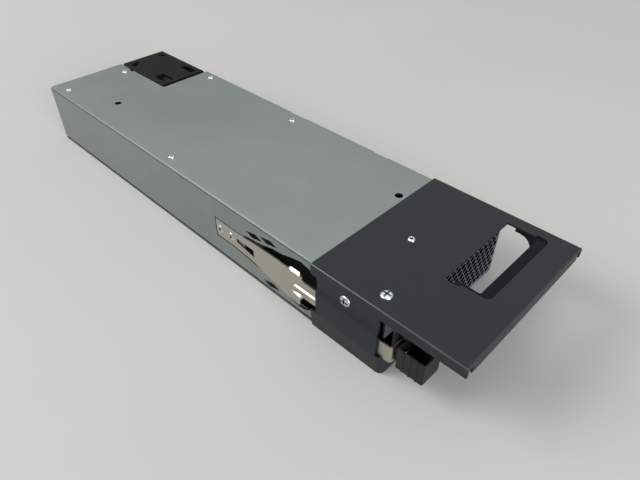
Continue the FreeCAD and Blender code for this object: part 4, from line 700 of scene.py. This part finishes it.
def hollowed(item, chosen):
    """Mark the faces in a recess, which the test picks by their centres in millimetres, to be painted dark
    as shade.
    """
    inside = item.data.attributes.new("hollow", "BOOLEAN", "FACE")
    for face in item.data.polygons:
        inside.data[face.index].value = chosen(face.center / MM)
    return item


def stood(name, template, places, finish, recess):
    """Copies of a template at (point, direction) places in millimetres, as one plain mesh.

    The points bring an empty first material slot with them, which is taken out.
    """
    mesh = bpy.data.meshes.new(name)
    mesh.from_pydata([Vector(point) * MM for point, _ in places], [], [])
    facing = mesh.attributes.new("facing", "FLOAT_VECTOR", "POINT")
    for index, (_, way) in enumerate(places):
        facing.data[index].vector = way
    item = bpy.data.objects.new(name, mesh)
    bpy.context.scene.collection.objects.link(item)
    modifier = item.modifiers.new("pieces", "NODES")
    modifier.node_group = standing
    for label, value in (("Piece", template), ("Finish", finish), ("Recess", recess)):
        modifier[standing.interface.items_tree[label].identifier] = value
    settled(item)
    if item.data.materials and not item.data.materials[0]:
        item.data.materials.pop(index=0)
    bpy.data.objects.remove(template)
    return item


def loose_boxes(node):
    """The low corner, middle and high corner, in millimetres, of each separate solid of a node."""
    shape = merged(node)
    left = set(shape.verts)
    boxes = []
    while left:
        reach = [left.pop()]
        solid = []
        while reach:
            vert = reach.pop()
            solid.append(vert.co / MM)
            for edge in vert.link_edges:
                other = edge.other_vert(vert)
                if other in left:
                    left.remove(other)
                    reach.append(other)
        low = Vector(map(min, zip(*solid)))
        high = Vector(map(max, zip(*solid)))
        middle = Vector([(near + far) / 2 for near, far in zip(low, high)])
        boxes.append((low, middle, high))
    shape.free()
    return sorted(boxes, key=lambda corners: tuple(round(v, 2) for v in corners[0]))


zinc_plate = plated("zinc_plated_steel", "#bcc4c6", "#d8dedf", 0.26, 0.4)
# A dark zinc for recesses, painted shade.
shaded_zinc = plated("zinc_plate_painted_shade_in_recess", "#22272a", "#343a3d", 0.4, 0.5)


def fastener(name, template, node, places, body="root", finish=zinc_plate, recess=shaded_zinc):
    """Stand copies of a template for the fasteners of a node."""
    fit(stood(name, template, places, finish, recess), finish, [node], body)


UP, LEFT, BACK = (0, 0, 1), (-1, 0, 0), (0, 1, 0)
BLIND_RIVET = [(0, 0.1), (0.4, 0.12), (0.7, 0.2), (0.82, 0.62), (0.95, 0.77), (1.15, 0.8), (1.45, 0.68),
               (1.75, 0.46), (1.94, 0.2), (2.0, 0), (1.2, 0), (1.2, -2.0), (0, -2.0)]
BLIND_DIMPLE = 0.8
TUBE_RIVET = [(0.8, -2.2), (0.8, 0.2), (0.95, 0.48), (1.25, 0.6), (1.7, 0.52), (2.15, 0.28), (2.4, 0),
              (1.5, 0), (1.5, -1.8), (2.4, -1.8), (2.1, -2.15), (1.4, -2.4), (0.8, -2.2)]
TUBE_BORE = 0.9
GRIP_RIVET = [(0, 0.5), (0.7, 0.46), (1.4, 0.34), (2.0, 0.16), (2.2, 0), (1.2, 0), (1.2, -4.6), (2.2, -4.6),
              (2.0, -4.8), (1.3, -5.02), (0, -5.1)]


def blind_rivet():
    """A fresh blind rivet, because each template is used up once its copies stand."""
    def in_dimple(centre):
        return math.hypot(centre.x, centre.y) < BLIND_DIMPLE and centre.z > 0
    return hollowed(turned("blind_rivet", BLIND_RIVET), in_dimple)


roof_places = [((middle.x, middle.y, ROOF_TOP), UP) for _, middle, _ in loose_boxes("cover_rivets")]
fastener("roof_rivets", blind_rivet(), "cover_rivets", roof_places)
_, middle, _ = loose_boxes("plate_rivet")[0]
fastener("cover_plate_rivet", blind_rivet(), "plate_rivet", [((middle.x, middle.y, PLATE_TOP), UP)])
tube_rivet = hollowed(turned("tube_rivet", TUBE_RIVET),
                      lambda centre: math.hypot(centre.x, centre.y) < TUBE_BORE)
fastener("leaf_rivets", tube_rivet, "latch_rivets", [((LEAF_FLAT, y, z), LEFT) for y, z in RIVET_HOLES])
_, middle, high = loose_boxes("grip_rivet")[0]
fastener("thumb_grip_rivet", turned("solid_rivet", GRIP_RIVET), "grip_rivet",
         [((middle.x, high.y - GRIP_RIVET[0][1], middle.z), BACK)], body="latch")


# ------------------------------------------------------------ thumb grip
# Moulded nylon cup with ribs on its outer face, riveted to the tip of the leaf: pressing it in
# bends the leaf and draws the hooks into the casing. Its walls are thin, and inside it is dull and
# painted darker as shade.

GRIP_CUP = ((-45.2, -36.4), (-63.4, -52.4))
GRIP_FLOOR = 14
GRIP_WALL_GAIN = 0.8


def in_cup(x, y, z, margin):
    """True above the cup's floor and within its opening, widened by a margin."""
    across, along = [low - margin < value < high + margin for value, (low, high) in zip((x, y), GRIP_CUP)]
    return across and along and z > GRIP_FLOOR


grip = merged("thumb_grip")
for vert in grip.verts:
    x, y, z = [value / MM for value in vert.co]
    if in_cup(x, y, z, margin=2 * NEAR):
        vert.co.x += math.copysign(GRIP_WALL_GAIN * MM, x - sum(GRIP_CUP[0]) / 2)
        vert.co.y += math.copysign(GRIP_WALL_GAIN * MM, y - sum(GRIP_CUP[1]) / 2)
mark(grip, lambda middle, normal: in_cup(*middle, margin=GRIP_WALL_GAIN + NEAR))
grip_nylon = moulded("moulded_grip_nylon", "#0d0f0f", grit=0.5, rough=0.45, sheen=0.36)
grip_inside_painted_shade = moulded("moulded_grip_painted_shade_inside", "#08090a", grit=0.8, rough=0.8)
fit(new_piece("latch_grip", grip, edge=0.25), grip_nylon, ["thumb_grip"], "latch",
    marked=[grip_inside_painted_shade])


# ------------------------------------------------------------ screws
# Zinc-plated steel, cold headed: M3 screws with a pan head and a cross recess, one in the plate and
# one in the cover's left wall. Down in the recess the zinc is painted darker, as painted shade.

cross_painted_shade_zinc = plated("zinc_plate_painted_shade_in_cross", "#4c585e", "#6a767c", 0.35, 0.5)
PAN_SCREW = [(0, 1.0), (1.5, 0.98), (2.3, 0.84), (2.8, 0.5), (3.0, 0.2), (3.0, 0), (1.5, 0),
             (1.5, -5.0), (0, -5.0)]
CROSS_TAPER, CROSS_ARM_SHARE, CROSS_ABOVE, CROSS_LIP = 0.45, 0.8, 0.5, 0.04


def cross_screw(name, profile, reach, arm, depth):
    """A turned screw with a cross cut in its head, which tapers towards its bottom."""
    screw = turned(name, profile)
    top = profile[0][1]
    shape = bmesh.new()
    for turn in (0, math.pi / 2):
        rim = [(-reach, -arm), (reach, -arm), (reach, arm), (-reach, arm)]
        loops = []
        for height, share in ((top + CROSS_ABOVE, 1.0), (top - depth, CROSS_TAPER)):
            ring = [Vector((x * share, y * CROSS_ARM_SHARE, height)) for x, y in rim]
            loops.append([shape.verts.new(Matrix.Rotation(turn, 3, "Z") @ spot * MM) for spot in ring])
        for i in range(4):
            shape.faces.new([loops[0][i], loops[0][(i + 1) % 4], loops[1][(i + 1) % 4], loops[1][i]])
        shape.faces.new(loops[0])
        shape.faces.new(loops[1][::-1])
    bmesh.ops.recalc_face_normals(shape, faces=shape.faces)
    mesh = bpy.data.meshes.new("cross")
    shape.to_mesh(mesh)
    shape.free()
    tool = bpy.data.objects.new("cross", mesh)
    bpy.context.scene.collection.objects.link(tool)
    recess = screw.modifiers.new("recess", "BOOLEAN")
    recess.object = tool
    recess.operation = "DIFFERENCE"
    recess.solver = "EXACT"
    recess.use_self = True
    settled(screw)
    bpy.data.objects.remove(tool)

    def in_cross(centre):
        near, far = sorted((abs(centre.x), abs(centre.y)))
        return near < arm and far < reach + SKIN and top - depth - NEAR < centre.z < top - CROSS_LIP
    return hollowed(screw, in_cross)


_, middle, _ = loose_boxes("plate_screw")[0]
fastener("cover_plate_screw", cross_screw("pan_screw", PAN_SCREW, reach=1.95, arm=0.55, depth=1.0),
         "plate_screw", [((middle.x, middle.y, PLATE_TOP), UP)], recess=cross_painted_shade_zinc)
low, middle, _ = loose_boxes("side_screw")[0]
fastener("side_wall_screw", cross_screw("pan_screw", PAN_SCREW, reach=1.95, arm=0.55, depth=1.0),
         "side_screw", [((low.x + PAN_SCREW[0][1], middle.y, middle.z), LEFT)], recess=cross_painted_shade_zinc)


# ------------------------------------------------------------ fans
# Two moulded fans in line that turn opposite ways, with a finger guard at the outlet. Glass-filled
# PBT, dull black, and darker and duller along the outer rims of their tops, a painted shade for the
# gap round them. Four short screws hold the guard and the rear fan.

fan_plastic = moulded("moulded_fan_pbt", "#08090b", grit=0.5, rough=0.6, sheen=0.18)
fan_rim_painted_shade = moulded("moulded_fan_rim_pbt_painted_shade", "#020203", grit=0.5, rough=0.8, sheen=0.05)
FAN_TOP, FAN_TOP_RAISED, FAN_TOP_BAND = 39.0, 39.85, 0.35
FAN_RIM_X, FAN_RIM_Y = 46.7, 257.6
FAN_SCREW = [(0, 0.9), (1.3, 0.86), (2.1, 0.66), (2.5, 0.34), (2.6, 0), (1.4, 0), (1.4, -4.9), (0, -4.9)]


def fan_shape(node):
    """A part of the fans, its top raised to lie almost flush with the roof."""
    shape = merged(node)
    for vert in shape.verts:
        if vert.co.z > (FAN_TOP - FAN_TOP_BAND) * MM:
            vert.co.z += (FAN_TOP_RAISED - FAN_TOP) * MM
    return shape


def on_rim(middle, normal):
    """True along the right and rear edges of a housing's top, where shade is painted."""
    return middle.z > FAN_TOP and (middle.x > FAN_RIM_X or middle.y > FAN_RIM_Y)


for node, name in (("fan_guard", "finger_guard"), ("fan_rear_frame", "rear_fan_housing"),
                   ("fan_front_frame", "front_fan_housing")):
    housing = fan_shape(node)
    bmesh.ops.bisect_plane(housing, geom=housing.verts[:] + housing.edges[:] + housing.faces[:], dist=1e-6,
                           plane_co=(FAN_RIM_X * MM, 0, 0), plane_no=(1, 0, 0))
    mark(housing, on_rim)
    fit(new_piece(name, housing, edge=0.12), fan_plastic, [node], marked=[fan_rim_painted_shade])
for node, name, body in (("fan_rear_rotor", "rear_fan_wheel", "rear_impeller"),
                         ("fan_front_rotor", "front_fan_wheel", "front_impeller")):
    fit(new_piece(name, fan_shape(node), edge=0.12), fan_plastic, [node], body)
black_zinc = plated("black_zinc_plate", "#303336", "#3d4043", 0.3, 0.45)
screw_places = [((middle.x, high.y - FAN_SCREW[0][1], middle.z), BACK)
                for _, middle, high in loose_boxes("fan_screws")]
fastener("fan_screws_black", cross_screw("fan_screw", FAN_SCREW, reach=1.5, arm=0.36, depth=0.8),
         "fan_screws", screw_places, finish=black_zinc)


# ------------------------------------------------------------ circuit boards and what carries them
# Glass-epoxy boards with green solder mask on nickel-plated brass pillars, and the black film that
# keeps them from the tray and, folded up, from the latch.

def solder_mask(name, code, bright):
    """Green lacquer over copper: the tracks show through as lighter, raised runs, drawn 12 mm apart."""
    finish, tree, shader, place = new_material(name, Roughness=0.35)
    tracks = add(tree, "ShaderNodeTexBrick", {"Vector": place, "Scale": per(12), "Color1": (1, 1, 1, 1),
                                              "Color2": (0.6, 0.6, 0.6, 1), "Mortar": (0, 0, 0, 1),
                                              "Mortar Size": 0.06})
    tone = add(tree, "ShaderNodeMix", {0: tracks.outputs[0], 6: colour(code), 7: colour(bright)},
               data_type="RGBA")
    relief = add(tree, "ShaderNodeBump", {"Height": tracks.outputs[0], "Strength": 0.5,
                                          "Distance": 0.04 * MM})
    tree.links.new(tone.outputs[2], shader.inputs["Base Color"])
    tree.links.new(relief.outputs[0], shader.inputs["Normal"])
    return finish


board_green = solder_mask("green_solder_mask", "#123a24", "#1d5233")
fit(remade("main_board", "main_circuit_board"), board_green, ["main_board"])
fit(remade("control_board", "control_circuit_board"), board_green, ["control_board"])
fit(remade("board_standoffs", "board_pillars", edge=0.3), nickel, ["board_standoffs"])
film = moulded("flame_retardant_film", "#17181a", grit=3.0, rough=0.4)
fit(remade("insulator_sheet", "insulating_film", edge=0.05), film, ["insulator_sheet"])


# ------------------------------------------------------------ power parts on the board
# Chokes and transformer on sintered ferrite, taped windings, electrolytic capacitors in shrink
# sleeves, and the switches clipped to extruded heatsinks.

def sintered():
    """Sintered ferrite: a dense dark grey, matt with a ground grain, drawn coarser than the real one."""
    finish, tree, shader, place = new_material("sintered_ferrite", Roughness=0.6)
    grain = add(tree, "ShaderNodeTexNoise", {"Vector": place, "Scale": per(0.6), "Detail": 4.0})
    tone = add(tree, "ShaderNodeMix", {0: grain.outputs[0], 6: colour("#2a2b2d"), 7: colour("#3d3e41")},
               data_type="RGBA")
    tree.links.new(tone.outputs[2], shader.inputs["Base Color"])
    return finish


def extruded():
    """Mill-finish extruded aluminium: pale, with die lines along its height, drawn 0.4 mm wide to show."""
    finish, tree, shader, place = new_material("extruded_aluminium", Metallic=1.0)
    drawn = add(tree, "ShaderNodeMapping", {"Vector": place, "Scale": (1, 1, 0.03)})
    lines = add(tree, "ShaderNodeTexNoise", {"Vector": drawn.outputs[0], "Scale": per(0.4), "Detail": 2.0})
    tone = add(tree, "ShaderNodeMix", {0: lines.outputs[0], 6: colour("#b4b7ba"), 7: colour("#d0d2d4")},
               data_type="RGBA")
    gloss = add(tree, "ShaderNodeMapRange", {0: lines.outputs[0], "To Min": 0.28, "To Max": 0.45})
    tree.links.new(tone.outputs[2], shader.inputs["Base Color"])
    tree.links.new(gloss.outputs[0], shader.inputs["Roughness"])
    return finish


ferrite = sintered()
aluminium = extruded()
tape = moulded("polyester_winding_tape", "#a8872c", grit=2.0, rough=0.4)
sleeve = moulded("shrink_sleeve_pet", "#15171c", grit=4.0, rough=0.3)
epoxy = moulded("epoxy_moulding", "#1b1c1d", grit=0.4)
fit(remade("line_filter", "line_filter_choke", edge=0.6), ferrite, ["line_filter"])
fit(remade("output_choke", "output_ring_choke", edge=1.0), ferrite, ["output_choke"])
fit(remade("transformer_core", "transformer_ferrite", edge=0.4), ferrite, ["transformer_core"])
fit(remade("transformer_winding", "transformer_coil", edge=0.8), tape, ["transformer_winding"])
fit(remade("bulk_capacitors", "bulk_electrolytics", edge=0.8), sleeve, ["bulk_capacitors"])
fit(remade("output_capacitors", "output_electrolytics", edge=0.5), sleeve, ["output_capacitors"])
fit(remade("bridge_heatsink", "finned_heatsink"), aluminium, ["bridge_heatsink"])
fit(remade("output_heatsink", "flat_heatsink"), aluminium, ["output_heatsink"])
fit(remade("power_transistors", "power_switches", edge=0.3), epoxy, ["power_transistors"])


# ------------------------------------------------------------ output connector
# Moulded nylon block in the rear wall, with eight silver-plated copper blades for the server's
# power midplane.

block_nylon = moulded("moulded_connector_nylon", "#1d1f20", grit=0.5)
silver = plated("silver_plated_copper", "#cfcbc0", "#e2dfd6", 0.15, 0.3)
fit(remade("output_connector", "output_power_block"), block_nylon, ["output_connector"])
fit(remade("output_contacts", "output_blades"), silver, ["output_contacts"])
